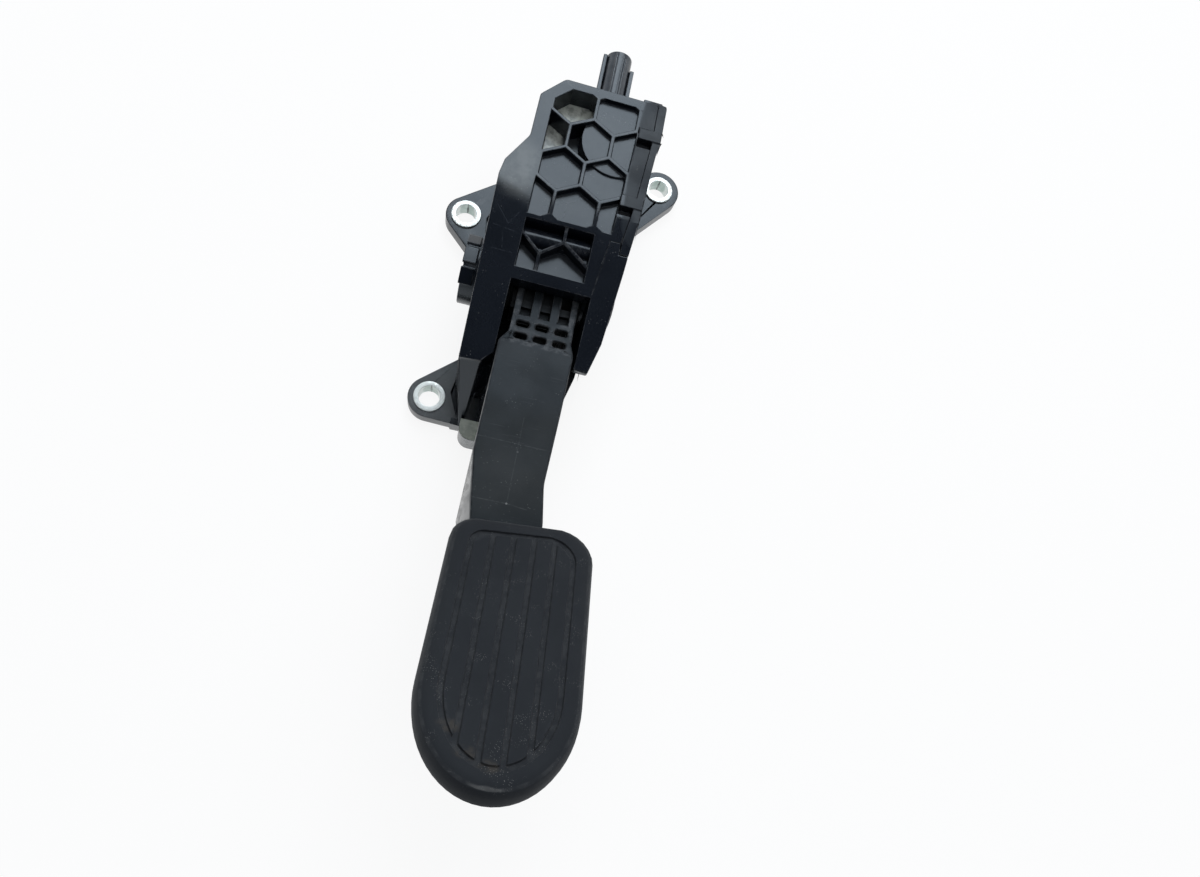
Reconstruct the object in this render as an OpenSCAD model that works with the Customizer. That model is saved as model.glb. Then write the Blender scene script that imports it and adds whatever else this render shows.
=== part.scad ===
// Accelerator pedal: a suspended plastic pedal on a moulded housing with a contactless pedal sensor.
// The origin is on the mounting face, under the pivot axis. Z points away from the mounting face,
// Y towards the connector and X along the pivot axis, towards the sensor cover. Sizes are millimetres.

/* [Pivot and travel] */
// Height of the pivot axis above the mounting face
pivot_z = 30; // [28:0.5:32]
// Travel of the pedal from rest to the foot, in degrees
travel = 16; // [12:0.5:17]
// Diameter of the steel shaft
shaft_d = 8; // [7:0.5:9]
// Radial running clearance of the shaft and the hub in their bearings
running_gap = 0.05; // [0.02:0.01:0.1]
// Gap between faces that only lie side by side
side_gap = 0.1; // [0.05:0.05:0.3]

/* [Housing shell] */
// Height of the honeycomb rim above the mounting face
front_z = 60; // [59:0.5:66]
// Y of the outer face of the top wall
top_y = 80; // [79:0.5:90]
// Y where the front starts to slope down to the arm
break_y = 23.7; // [22:0.1:26]
// Slope of the lower front, in degrees
front_slope = 12; // [10:0.5:13]
// Thickness of the moulded walls
wall = 2.4; // [1.8:0.1:2.8]
// Thickness of the base plate
base_t = 5; // [4:0.1:6]
// X of the left wall of the mechanism chamber
chamber_left = -19; // [-19.5:0.1:-19]
// X of the plane where the side cover closes the chamber
cover_x = 25.2; // [25.2:0.1:27]
// X of the shell's left edge beside the honeycomb
neck_x = -23.4; // [-25:0.1:-23]
// X of the left flange's outer edge
flange_x = -32; // [-34:0.1:-31]
// X of the left flange's edge beside the arm
flange_inner_x = -18; // [-18.4:0.1:-17.8]
// Y of the left flange's tip
flange_tip_y = -43.5; // [-48:0.5:-40]
// Y of the lower edge of the bar in front of the arm
bar_y = -9.3; // [-10.5:0.1:-8.5]

/* [Honeycomb] */
// Side length of one honeycomb cell
cell_side = 10.4; // [9.5:0.1:11.5]
// Thickness of the honeycomb ribs
rib_t = 1.5; // [1:0.1:2.2]
// Depth of the shallow cells below the rim
cell_depth = 5; // [4:0.1:5.5]
// Depth of the deep cells at the upper left
deep_depth = 10; // [8:0.5:11]
// Depth of the round spring seat below the rim
seat_depth = 3.4; // [2.5:0.1:3.6]
// Width of the solid rim along the top wall
rim_w = 4; // [3:0.1:5]

/* [Window] */
// X of the window's right edge
window_right = 10; // [8:0.5:11]
// Y of the window's lower edge
window_low = -4.3; // [-5:0.1:-3.5]
// Y of the window's upper edge
window_top = 15.2; // [14.5:0.1:15.6]
// Thickness of the window's braces
brace_t = 1.3; // [1:0.1:1.8]

/* [Bolt ears] */
// X and Y of the lower left bolt
lower_ear = [-40, -50];
// X and Y of the upper left bolt
upper_ear = [-44, 37];
// X and Y of the right bolt
right_ear = [39.5, 75];
// Radius of an ear around its bolt
ear_r = 9; // [8.5:0.1:11]
// Radius of the right ear around its bolt
right_ear_r = 9.8; // [9:0.1:11]
// Thickness of the ears
ear_t = 7; // [6:0.1:9]
// Bore of the compression sleeves
sleeve_bore = 9; // [8:0.1:9.6]
// Outside diameter of the compression sleeves
sleeve_od = 11.6; // [11:0.1:12.4]
// Diameter of the sleeves' flange
sleeve_flange_d = 13.2; // [13:0.1:15]
// Thickness of the sleeves' flange
sleeve_flange_t = 1; // [0.8:0.1:1.5]

/* [Foot] */
// Y of the arm's heel that lands on the foot
heel_y = -68; // [-70:0.5:-66]
// Height of the heel above the pivot axis
heel_h = 4.3; // [4:0.1:5]
// Gap that the arm's flexing closes between the heel and the foot
foot_gap = 0.7; // [0.4:0.1:1]
// Y of the foot's lower end
foot_y = -66.5; // [-70:0.5:-64]
// Length of the raised part of the foot
foot_len = 8.5; // [6:0.5:10]
// Thickness of the plate between the flanges and the foot
foot_plate_t = 7; // [6:0.1:8]
// X of the foot's left edge
foot_left = -25; // [-26:0.5:-24]
// X of the foot's right edge
foot_right = 13; // [10:0.5:14]

/* [Shaft boss] */
// Diameter of the boss on the left flange
boss_d = 28; // [26:0.2:29]
// X of the outer face of the boss
boss_x = -37.6; // [-39:0.1:-37]
// Diameter of the bearing hub in the boss
hub_d = 15; // [13:0.5:16]

/* [Sensor cover] */
// Thickness of the cover's plate
cover_t = 3.5; // [3:0.1:3.8]
// Width of a snap clip
clip_w = 4.8; // [4:0.1:6]
// Reach of a snap clip over the housing's rim
clip_reach = 6.2; // [5.8:0.1:6.6]
// Height of a snap clip above the rim
clip_rise = 0.5; // [0.3:0.1:1]
// Depth of the lip that hooks a snap clip into the rim
clip_lip = 1.4; // [1:0.1:1.8]
// Y of the upper clip's middle
clip_upper_y = 64.3; // [63:0.1:66]
// Y of the lower clip's middle
clip_lower_y = 32; // [31:0.1:33]
// X of the right flange's edge beside the arm
guide_x = 14; // [13.8:0.1:14.6]
// Diameter of the sensor dome
dome_d = 20; // [19:0.5:22]
// X of the outer face of the sensor dome
dome_x = 25.4; // [25.2:0.1:26]

/* [Connector] */
// X of the connector's middle
plug_x = 6.4; // [5:0.1:8]
// Width of the connector
plug_w = 11.4; // [11:0.1:13]
// Height of the connector
plug_h = 24; // [23:0.5:28]
// Height of the connector's middle above the mounting face
plug_z = 33; // [30:0.5:35]
// Length of the connector beyond the cover's bridge
plug_len = 29; // [25:0.5:34]
// Wall of the connector
plug_wall = 1.5; // [1.2:0.1:1.8]
// Thickness of the bridge that carries the connector
bridge_t = 4; // [3.5:0.1:5]
// Number of terminals
PINS = 6;
// Distance between terminals
pin_pitch = 3; // [2.6:0.1:3.2]
// Thickness of a terminal
pin_t = 0.8; // [0.6:0.1:1.2]

/* [Sensor] */
// Radius of the magnet holder, which turns in the cover's bearing
magnet_hub_r = 8; // [7.6:0.1:8.4]
// Wall of the steel yoke around the magnets
yoke_t = 1.1; // [0.8:0.1:1.4]
// Thickness of a magnet
magnet_t = 1.1; // [0.8:0.1:1.4]
// Film of adhesive outside the magnets
glue_gap = 0.05; // [0.05:0.05:0.1]
// Depth of the ring of magnets
magnet_depth = 6; // [5:0.5:6.5]
// Radius of the post that carries the sensor
sensor_r = 2.8; // [2.4:0.1:3]

/* [Rotors] */
// Diameter of the rotor hubs
rotor_d = 22; // [20:0.5:23]
// X of the plane where the teeth start
teeth_x = 1; // [0:0.5:2]
// Number of helical teeth
teeth = 6; // [4:1:8]
// Height of the helical teeth
tooth_h = 3; // [2:0.1:3.6]
// Gap between the meshing teeth
tooth_gap = 0.2; // [0.15:0.05:0.4]
// Thickness of a friction plate
plate_t = 2; // [1.5:0.1:2.5]
// X of the face that the right friction plate bears on
bearing_x = 12; // [11.5:0.5:13]
// Thickness of the lever walls
lever_wall = 2.5; // [2:0.1:3.5]
// Y of the stop lever's tip
lever_tip_y = 69; // [62:0.5:70]

/* [Return springs] */
// Y of the spring axis
spring_y = 58; // [57:0.5:59]
// Gap between the outer spring and the plane of the side cover
spring_gap = 0.5; // [0.4:0.1:1]
// Mean diameter of the outer spring
outer_coil_d = 23; // [22:0.1:23.2]
// Wire of the outer spring
outer_wire = 2.4; // [2:0.1:2.5]
// Mean diameter of the inner spring
inner_coil_d = 14.4; // [14:0.1:15.5]
// Wire of the inner spring
inner_wire = 1.8; // [1.4:0.1:2]
// Turns of the outer spring
outer_turns = 5; // [4:1:6]
// Turns of the inner spring
inner_turns = 6; // [5:1:8]
// Thickness of the spring holder's plate
holder_t = 2.2; // [1.6:0.1:3]
// Height of the lever's face under the spring holder
lever_face_z = 16; // [14:0.5:18]

/* [Arm] */
// Width of the arm between the flanges
arm_w = 29; // [27:0.1:29.4]
// X of the arm's middle between the flanges
arm_x = -2.8; // [-3:0.1:-2.6]
// Width of the arm at the fingers
finger_span = 25; // [24:0.1:26]
// Width of the arm above the pad
arm_low_w = 26.2; // [24:0.1:28]
// X of the arm's middle above the pad
arm_low_x = 0; // [-1:0.1:1]
// Distance between the slots in the arm's end
slot_pitch = 7.7; // [7.3:0.1:7.9]
// Width of the slots
slot_w = 4.1; // [3.6:0.1:4.6]
// Skin of the arm's front
arm_skin = 2.6; // [2:0.1:3.2]
// Side walls of the arm
arm_wall = 2.2; // [1.8:0.1:3]
// Y of the shoulders where the arm reaches its full width
shoulder_y = -34; // [-36:0.5:-33]
// Y of the crease across the arm's front
crease_y = -74.5; // [-80:0.5:-70]
// Y of the notch on the arm's right side above the pad
waist_y = -88; // [-92:0.5:-86]
// Y where the slanted flank at the lower left starts
flank_y = -80; // [-86:0.5:-76]

/* [Pad] */
// Tilt of the pad against the mounting face, in degrees
pad_tilt = 33; // [28:0.5:36]
// X of the pad's middle
pad_x = 6.6; // [4:0.1:8]
// Y of the pad's upper end
pad_y = -106; // [-110:0.5:-105]
// Height of the pad's upper end
pad_z = 70; // [68:0.5:74]
// Width of the pad
pad_w = 49.8; // [46:0.1:54]
// Length of the pad
pad_len = 97.4; // [92:0.1:104]
// Thickness of the pad with its rim
pad_t = 9; // [8:0.1:11]
// Thickness of the rubber over the arm's plate
pad_face_t = 4; // [3.5:0.1:5]
// Thickness of the arm's plate inside the pad
pad_plate_t = 3; // [2.5:0.1:4]
// Width of the pad's plain border
pad_border = 6.5; // [6:0.1:8]
// Width of the grooves
groove_w = 1.8; // [1:0.1:2.4]
// Overhang of the rubber beyond the arm's plate
pad_rim = 3; // [2.4:0.1:3.6]
// Depth of the grooves
groove_d = 1; // [0.6:0.1:1.6]
// Number of raised strips
strips = 5; // [4:1:7]
// Height of the pad's crown above its upper end
pad_crown = 3.3; // [2:0.1:4]
// Radius of the pad's upper right corner
pad_corner = 12.5; // [11:0.1:14]

/* [Hidden] */

$fn = 64;
// Overshoot of a cut beyond the face that it opens
cut = 1;
// Largest reach of a cut that leaves the part
far = 200;
// Angle of one facet in the outlines' arcs, and facets of the pad's lower end
arc_step = 15;
pad_facets = 30;

black_nylon = "#1d1f22";
arm_black = "#303236";
rubber_black = "#27282a";
zinc = "#c9cdd0";
steel = "#a9adb1";
natural_resin = "#8c8a80";
tin = "#c8c4b4";
magnet_grey = "#5c5f63";
sensor_black = "#15161a";

// Distances in the honeycomb lattice
cell_dx = cell_side * sqrt(3);
cell_dy = cell_side * 1.5;
cell_centre = [0.2, 54.6];
cell_cut_r = cell_side - rib_t / sqrt(3);

// The springs stand beside the cover
spring_axis = [cover_x - (outer_coil_d + outer_wire) / 2 - spring_gap, spring_y];
// Height and diameter of the pins that centre the inner spring
spring_pin_h = 4;
spring_pin_d = inner_coil_d - inner_wire - 1;

// X of the left flange's outer edge at its tip
flange_low_x = flange_x + 1.4;

// Heights of the front's floors
shallow_z = front_z - cell_depth;
deep_z = front_z - deep_depth;
seat_z = front_z - seat_depth;
chamber_top_z = shallow_z - wall;
chamber_top_y = top_y - rim_w;
spring_top_z = seat_z - wall;
window_floor_z = shallow_z - 5;
sleeve_len = ear_t + sleeve_flange_t;
seat_r = outer_coil_d / 2 + outer_wire / 2 + 0.6 + 2;

// Full travel brings the arm's heel down to just above the foot
foot_z = pivot_z + heel_y * sin(travel) + heel_h * cos(travel) - foot_gap;

// The magnet holder turns in the cover around the sensor
hub_end_x = bearing_x + 9.4;
ring_from_x = hub_end_x - magnet_depth;
yoke_r = magnet_hub_r - 1.6;
sensor_x = ring_from_x + 1.4;
shaft_end_x = ring_from_x - 0.4;

// The arm's end fits over the rotor's spine
spine_y = -12.5;
spine_t = 3;
arm_top_y = -7;
slot_end_y = -20.5;
finger_z = pivot_z + 15.2;
spine_z = finger_z - arm_skin - 0.2;
arm_end_y = pad_y - 59;

function unit(v) = v / norm(v);
function front_at(y) = y > break_y ? front_z : front_z - (break_y - y) * tan(front_slope);
function wrap(a) = a > 180 ? a - 360 : a < -180 ? a + 360 : a;
function arc(c, r, from, sweep, n) =
    [for (i = [0:n]) c + r * [cos(from + sweep * i / n), sin(from + sweep * i / n)]];

// Points that round the corner p between its neighbours a and b
function corner(a, p, b, r) =
    let (u = unit(a - p), v = unit(b - p), half = acos(u * v) / 2)
    let (c = p + unit(u + v) * r / sin(half), first = p + u * r / tan(half), last = p + v * r / tan(half))
    let (from = atan2(first.y - c.y, first.x - c.x), to = atan2(last.y - c.y, last.x - c.x))
    let (sweep = wrap(to - from))
    arc(c, r, from, sweep, ceil(abs(sweep) / arc_step));

// Outline whose points are [x, y, corner radius]
function rounded(points) =
    let (n = len(points), at = [for (p = points) [p[0], p[1]]])
    [for (i = [0:n - 1]) each points[i][2] == 0 ? [at[i]]
        : corner(at[(i + n - 1) % n], at[i], at[(i + 1) % n], points[i][2])];

// Angle at which a line from p touches the circle, on the side given by the sign
function touch(c, r, p, side) = atan2(p.y - c.y, p.x - c.x) + side * acos(r / norm(p - c));

// Point of the side view, on the pad's own axes: v up the pad, h out of its face
function pad_at(v, h) =
    [pad_y + v * cos(pad_tilt) + h * sin(pad_tilt), pad_z - v * sin(pad_tilt) + h * cos(pad_tilt)];

// Solid between outlines of equal length, each one a list of points in space
module loft(rings) {
    n = len(rings[0]);
    last = len(rings) - 1;
    points = [for (ring = rings) each ring];
    sides = [for (k = [0:last - 1], i = [0:n - 1])
        [k * n + i, (k + 1) * n + i, (k + 1) * n + (i + 1) % n, k * n + (i + 1) % n]];
    ends = [[for (i = [0:n - 1]) i], [for (i = [n - 1:-1:0]) last * n + i]];
    polyhedron(points, concat(sides, ends), convexity = 8);
}

// Extrudes an outline of the side view, whose points are Y and Z, from one X to another
module side_view(points, x_from, x_to) {
    translate([x_from, 0, 0]) rotate([90, 0, 90]) linear_extrude(x_to - x_from) polygon(points);
}

// Cylinder along X around a point of the side view
module rod(x_from, x_to, r, y = 0, z = pivot_z) {
    translate([x_from, y, z]) rotate([0, 90, 0]) cylinder(h = x_to - x_from, r = r);
}

// Everything under the housing's front, which slopes down below the break
module under_front(drop = 0) {
    side_view([[-far, -cut], [far, -cut], [far, front_z - drop], [break_y, front_z - drop],
        [-far, front_at(-far) - drop]], -far, far);
}

// Plan of the cover's outer face, from the top wall down to the right flange's tip
cover_edge = [[cover_x + cover_t, top_y], [cover_x + cover_t, 62], [cover_x + 2.6, 56], [cover_x + 2.1, 48],
    [cover_x + 1.3, 33], [cover_x + 0.8, 22], [cover_x - 0.2, 10], [cover_x - 0.6, 3], [cover_x - 3, -26],
    [cover_x - 6, -38.5]];
edge_end = len(cover_edge) - 1;

// Seam between the front frame and the cover, from the flange's top up to the straight part
seam = [[cover_x - 4, 14.4], [cover_x - 1.8, 33], [cover_x, 60]];
seam_table = [for (p = seam) [p.y, p.x]];
edge_table = [for (i = [edge_end:-1:0]) [cover_edge[i].y, cover_edge[i].x]];

// Housing

function shell_plan() = rounded(concat([
    [-14.5, top_y, 3], [neck_x, top_y - 10, 3], [neck_x - 0.2, 50, 4],
    [flange_x + 1, 36.5, 2], [flange_x, 30, 2], [flange_x + 0.6, 0, 0], [flange_low_x, flange_tip_y, 1],
    [flange_inner_x - 4, flange_tip_y + 0.5, 1], [flange_inner_x, flange_tip_y + 5, 2],
    [flange_inner_x, bar_y, 0]],
    [[guide_x, bar_y, 0], [guide_x + 2.5, 14.4, 0]],
    [for (p = seam) [p.x - side_gap, p.y, 0]],
    [[cover_x - side_gap, top_y, 1.5]]));

// Inside of the left flange, open at the back
function flange_pocket() = [
    [chamber_left - wall, 42], [neck_x - 4, 38], [flange_x + 1 + wall, 34.5], [flange_x + wall, 29.5],
    [flange_x + 0.6 + wall, 0], [flange_low_x + wall, flange_tip_y + wall],
    [flange_inner_x - 4, flange_tip_y + wall], [flange_inner_x - wall, flange_tip_y + 7],
    [flange_inner_x - wall, bar_y], [chamber_left - wall, bar_y]];

function recess_plan() = [
    [-17.7, 17], [-17.6, chamber_top_y - 6.8], [-10.8, chamber_top_y], [cover_x - 6.2, chamber_top_y],
    [cover_x - 7, 50], [cover_x - 8.8, 17]];

module base_plan() {
    polygon(concat([
        [-14.5, top_y], [neck_x, top_y - 10], [neck_x - 0.2, 50], [flange_x + 1, 36.5], [flange_x, 30],
        [flange_x + 0.6, 0], [flange_low_x, flange_tip_y], [foot_left, -52], [foot_left, foot_y + foot_len],
        [foot_right, foot_y + foot_len], [foot_right, -44]],
        [for (i = [edge_end:-1:edge_end - 3]) cover_edge[i] - [cover_t + side_gap, 0]],
        [for (p = seam) p - [side_gap, 0]], [[cover_x - side_gap, top_y]]));
}

// Ear plate from the arc round the bolt to two points inside the shell, anticlockwise
module ear(bolt, pair, r = ear_r) {
    from = touch(bolt, r, pair[0], 1);
    sweep = (touch(bolt, r, pair[1], -1) - from + 720) % 360;
    linear_extrude(ear_t) polygon(concat([pair[0]], arc(bolt, r, from, sweep, 20), [pair[1]]));
}

// Triangular pocket that lightens an ear
module ear_pocket(bolt, pair) {
    middle = (pair[0] + pair[1]) / 2;
    inward = unit(bolt - middle);
    tip = bolt - inward * (sleeve_flange_d / 2 + 2.6);
    translate([0, 0, ear_t - 3]) linear_extrude(3 + cut)
        polygon([tip, pair[1] + (tip - pair[1]) * 0.3 + inward, pair[0] + (tip - pair[0]) * 0.3 + inward]);
}

module honeycomb_cells(z) {
    intersection() {
        translate([0, 0, z]) linear_extrude(far) polygon(recess_plan());
        for (row = [-2:1], i = [-1:1]) {
            shift = row % 2 == 0 ? 0 : 0.5;
            translate([cell_centre.x + (i + shift) * cell_dx, cell_centre.y + row * cell_dy, z])
                rotate([0, 0, 30]) cylinder(h = far, r = cell_cut_r, $fn = 6);
        }
    }
}

// The cells at the upper left, and the part of the middle one beside the spring seat, go deeper
module deep_cells() {
    difference() {
        intersection() {
            translate([0, 0, deep_z]) linear_extrude(far) polygon(recess_plan());
            for (p = [[-0.5, 1], [-1, 0], [0, 0]])
                translate([cell_centre.x + p.x * cell_dx, cell_centre.y + p.y * cell_dy, deep_z])
                    rotate([0, 0, 30]) cylinder(h = far, r = cell_cut_r, $fn = 6);
        }
        translate([spring_axis.x, spring_axis.y, 0]) cylinder(h = seat_z, r = seat_r);
        translate([spring_axis.x - 10, 30, 0]) cube([40, 60, shallow_z]);
    }
}

module honeycomb() {
    difference() {
        honeycomb_cells(shallow_z);
        translate([spring_axis.x, spring_axis.y, 0]) cylinder(h = seat_z, r = seat_r);
    }
    deep_cells();
}

module window_brace(a, b) {
    turn = atan2(b.y - a.y, b.x - a.x);
    translate([a.x, a.y, 0]) rotate([0, 0, turn]) translate([0, -brace_t / 2, window_floor_z - cut])
        cube([norm(b - a), brace_t, front_z]);
}

// Window over the shaft, with a round bulge across and thin braces
module window() {
    knot_a = [-9.6, 3];
    knot_b = [-1, 9.4];
    difference() {
        translate([-17.7, window_low, window_floor_z])
            cube([window_right + 17.7, window_top - window_low, far]);
        rod(-18, window_right + 1, 3.6, 11, window_floor_z - 0.2);
        intersection() {
            union() {
                window_brace(knot_a, [-18, 9.8]);
                window_brace(knot_a, knot_b);
                window_brace(knot_a, [-9.5, window_low - cut]);
                window_brace(knot_b, [-1.2, window_top + cut]);
                window_brace(knot_b, [window_right + 1, 1.4]);
            }
            under_front(0.6);
        }
    }
}

// Chamber of the mechanism, open to the cover and to the arm
module chamber() {
    difference() {
        side_view([[chamber_top_y, base_t], [chamber_top_y, chamber_top_z], [17.2, chamber_top_z],
            [15.6, window_floor_z - wall], [-9.5, pivot_z + 16], [flange_tip_y - 20, pivot_z + 16],
            [flange_tip_y - 20, base_t]], chamber_left, far);
        difference() {
            translate([chamber_left - cut, 45, deep_z - wall]) cube([spring_axis.x - chamber_left, 40, 20]);
            translate([spring_axis.x, spring_axis.y, 0]) cylinder(h = far, r = seat_r - 2);
            translate([spring_axis.x - 12, 40, 0]) cube([40, 6, far]);
        }
        translate([chamber_left - cut, -far, 0])
            cube([flange_inner_x - chamber_left + cut, far + bar_y, far]);
        linear_extrude(far) polygon([[-30, 60], [-12.4, chamber_top_y + cut], [-30, chamber_top_y + cut]]);
    }
    rod(chamber_left, flange_inner_x + cut, rotor_d / 2 + 1);
    intersection() {
        translate([spring_axis.x, spring_axis.y, chamber_top_z - cut])
            cylinder(h = spring_top_z - chamber_top_z + cut, r = seat_r - 2);
        translate([-far, -far, 0]) cube([far + cover_x, 2 * far, far]);
    }
}

// Cup on the left flange that carries the shaft's left end
module shaft_boss() {
    difference() {
        rod(boss_x, flange_x + 3, boss_d / 2);
        rod(boss_x - cut, flange_x - 0.6, boss_d / 2 - wall);
    }
    for (a = [0:60:300]) translate([boss_x + 0.6, 0, pivot_z]) rotate([a, 0, 0])
        translate([0, -brace_t / 2, 0]) cube([5, brace_t, boss_d / 2 - cut]);
    for (a = [-35, 0, 35]) translate([boss_x - 0.6, 0, pivot_z]) rotate([a, 0, 0])
        translate([0, -3.4, boss_d / 2 - 0.6]) cube([5.4, 6.8, 1.2]);
}

// Inclined end of the left flange, narrowing down to the base
module gusset() {
    intersection() {
        side_view([[flange_tip_y + 1, 0], [flange_tip_y + 1, front_at(flange_tip_y) - 1], [-60, ear_t + 1.5],
            [-60, 0]], -far, 0);
        linear_extrude(far) polygon([
            [flange_low_x, flange_tip_y + 1.2], [flange_inner_x - 4, flange_tip_y + 1.2],
            [foot_left + 1, -60], [foot_left - 0.6, -60]]);
    }
}

module foot() {
    linear_extrude(foot_z) polygon(rounded([
        [foot_left, foot_y + foot_len, 0], [foot_left, foot_y, 5], [foot_right, foot_y, 5],
        [foot_right, foot_y + foot_len, 0]]));
    linear_extrude(foot_plate_t) polygon([
        [foot_left - 0.6, -60], [foot_left - 0.6, -46], [foot_right, -44], [foot_right, -60]]);
    translate([foot_left - 4, -60, 0]) cube([5, 3, ear_t + 2]);
}

module clip_seat(y) {
    translate([clip_from(y) - side_gap, y - clip_w / 2 - side_gap, front_at(y) - 2 - side_gap]) {
        cube([10, clip_w + 2 * side_gap, 10]);
        translate([0, 0, -clip_lip]) cube([1.6 + 2 * side_gap, clip_w + 2 * side_gap, 10]);
    }
    translate([clip_from(y), y - clip_w / 2 - 3.8, front_at(y) - 4]) cube([10, 4, 10]);
}

// Blind slots that core the thick parts of the base from behind
module base_coring() {
    for (y = [-54, -47])
        translate([foot_left + 5, y - 2, -cut]) cube([foot_right - foot_left - 10, 4, 3 + cut]);
    translate([foot_left + 5, foot_y + 2.2, -cut])
        cube([foot_right - foot_left - 10, foot_len - 4.4, foot_z - wall + cut]);
}

module housing() {
    lower_pair = [[flange_x + 4, -27], [foot_left + 1, -59.4]];
    upper_pair = [[neck_x + 2, 66.5], [flange_x + 2.6, 11]];
    right_pair = [[cover_x - 4, 36.7], [cover_x - 2, top_y - 1]];
    color(black_nylon) difference() {
        union() {
            difference() {
                intersection() {
                    linear_extrude(far) polygon(shell_plan());
                    under_front();
                }
                chamber();
                difference() {
                    intersection() {
                        translate([0, 0, -cut]) linear_extrude(far) polygon(flange_pocket());
                        under_front(wall);
                    }
                    for (y = [-30, -15, 15, 30])
                        translate([-far, y - rib_t / 2, 0]) cube([far, rib_t, far]);
                }
                honeycomb();
                window();
                for (y = [clip_upper_y, clip_lower_y]) clip_seat(y);
            }
            linear_extrude(base_t) base_plan();
            ear(lower_ear, lower_pair);
            ear(upper_ear, upper_pair);
            ear(right_ear, right_pair, right_ear_r);
            shaft_boss();
            rod(boss_x + 1, chamber_left, hub_d / 2);
            gusset();
            foot();
            translate([spring_axis.x, spring_axis.y, spring_top_z - spring_pin_h + cut])
                cylinder(h = spring_pin_h, d = spring_pin_d);
            translate([chamber_left, lever_tip_y - 12, base_t - 0.5]) cube([16, 10, 1.5]);
        }
        rod(boss_x + 3, chamber_left + cut, shaft_d / 2 + running_gap);
        for (bolt = [lower_ear, upper_ear, right_ear])
            translate([bolt.x, bolt.y, -cut]) cylinder(h = far, d = sleeve_od + running_gap);
        ear_pocket(lower_ear, lower_pair);
        ear_pocket(upper_ear, upper_pair);
        ear_pocket(right_ear, right_pair);
        base_coring();
    }
}

module mount_sleeve(bolt) {
    color(zinc) translate([bolt.x, bolt.y, 0]) difference() {
        union() {
            cylinder(h = sleeve_len, d = sleeve_od);
            translate([0, 0, ear_t]) cylinder(h = sleeve_flange_t, d = sleeve_flange_d);
        }
        translate([0, 0, -cut]) cylinder(h = far, d = sleeve_bore);
    }
}

// Sensor cover

// Plan of the cover with its upper end at the given Y
function cover_plan(upper_y, upper_r) = rounded(concat(
    [[cover_x + cover_t, upper_y, upper_r]],
    [for (i = [1:edge_end - 1]) [cover_edge[i].x, cover_edge[i].y, 0]],
    [[cover_edge[edge_end].x, cover_edge[edge_end].y, 1], [guide_x - 0.4, -38.1, 0.5],
    [guide_x, bar_y, 0], [guide_x + 2.5 + side_gap, 14.4 - side_gap, 0], [seam[0].x, 14.4 - side_gap, 0],
    [seam[1].x, seam[1].y, 0], [seam[2].x, seam[2].y, 0], [cover_x, upper_y, 0]]));

// Plate on the housing's right side, with the lower flange beside the arm
module cover_shell() {
    intersection() {
        difference() {
            union() {
                translate([0, 0, 0.6]) linear_extrude(far) polygon(cover_plan(top_y + 1.2, 2.6));
                linear_extrude(front_z - 8) polygon(cover_plan(top_y + bridge_t, 2));
            }
            intersection() {
                translate([0, 0, -cut]) linear_extrude(far) polygon(concat(
                    [[seam[0].x + 0.6, 20], [seam[0].x + 0.6, 14]],
                    [for (i = [6:edge_end - 1]) cover_edge[i] - [wall, 0]],
                    [[cover_edge[edge_end].x - wall, -35], [guide_x + wall - 0.4, -35.5],
                    [guide_x + wall, bar_y], [guide_x + 1, 12], [guide_x - 4, 14], [guide_x - 4, 20]]));
                under_front(wall);
            }
            side_view([[-far, -far], [far, -far], [far, base_t + side_gap], [-35, base_t + side_gap],
                [-38.5, front_at(-41) - 16], [-far, front_at(-41) - 16]], -far, guide_x + wall + 4);
            flange_step();
        }
        side_view([[top_y + bridge_t, ear_t + side_gap], [top_y + bridge_t, front_z - 3],
            [top_y, front_z], [break_y, front_z], [-42, front_at(-42)], [-38.6, front_at(-38.6) - 2],
            [-20, 1], [30, 1], [36, ear_t + side_gap]], 0, cover_x + cover_t);
        translate([0, 0, -cut]) linear_extrude(far) square(far, center = true);
    }
}

// Shallow step in the front face where the lower flange meets the bar beside the seam
module flange_step() {
    groove = 0.5;
    translate([seam[0].x - groove / 2, 9.6, front_at(9) - 1]) {
        cube([groove, seam[0].y - 9.6, 10]);
        cube([10, groove, 10]);
    }
}

// X of the seam and of the cover's outer face beside a clip
function clip_from(y) = lookup(y, seam_table) - clip_reach;
function clip_to(y) = lookup(y, edge_table);

// Hook that reaches over the housing's front rim
module clip(y) {
    translate([clip_from(y), y - clip_w / 2, front_at(y) - 2]) {
        cube([clip_to(y) - clip_from(y), clip_w, 2 + clip_rise]);
        translate([0, 0, -clip_lip]) cube([1.6, clip_w, clip_lip + 1]);
    }
}

module plug_outline(grow) {
    straight = (plug_h - plug_w) / 2;
    for (side = [-1, 1]) translate([0, side * straight]) circle(d = plug_w + 2 * grow);
    square([plug_w + 2 * grow, 2 * straight], center = true);
}

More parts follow.
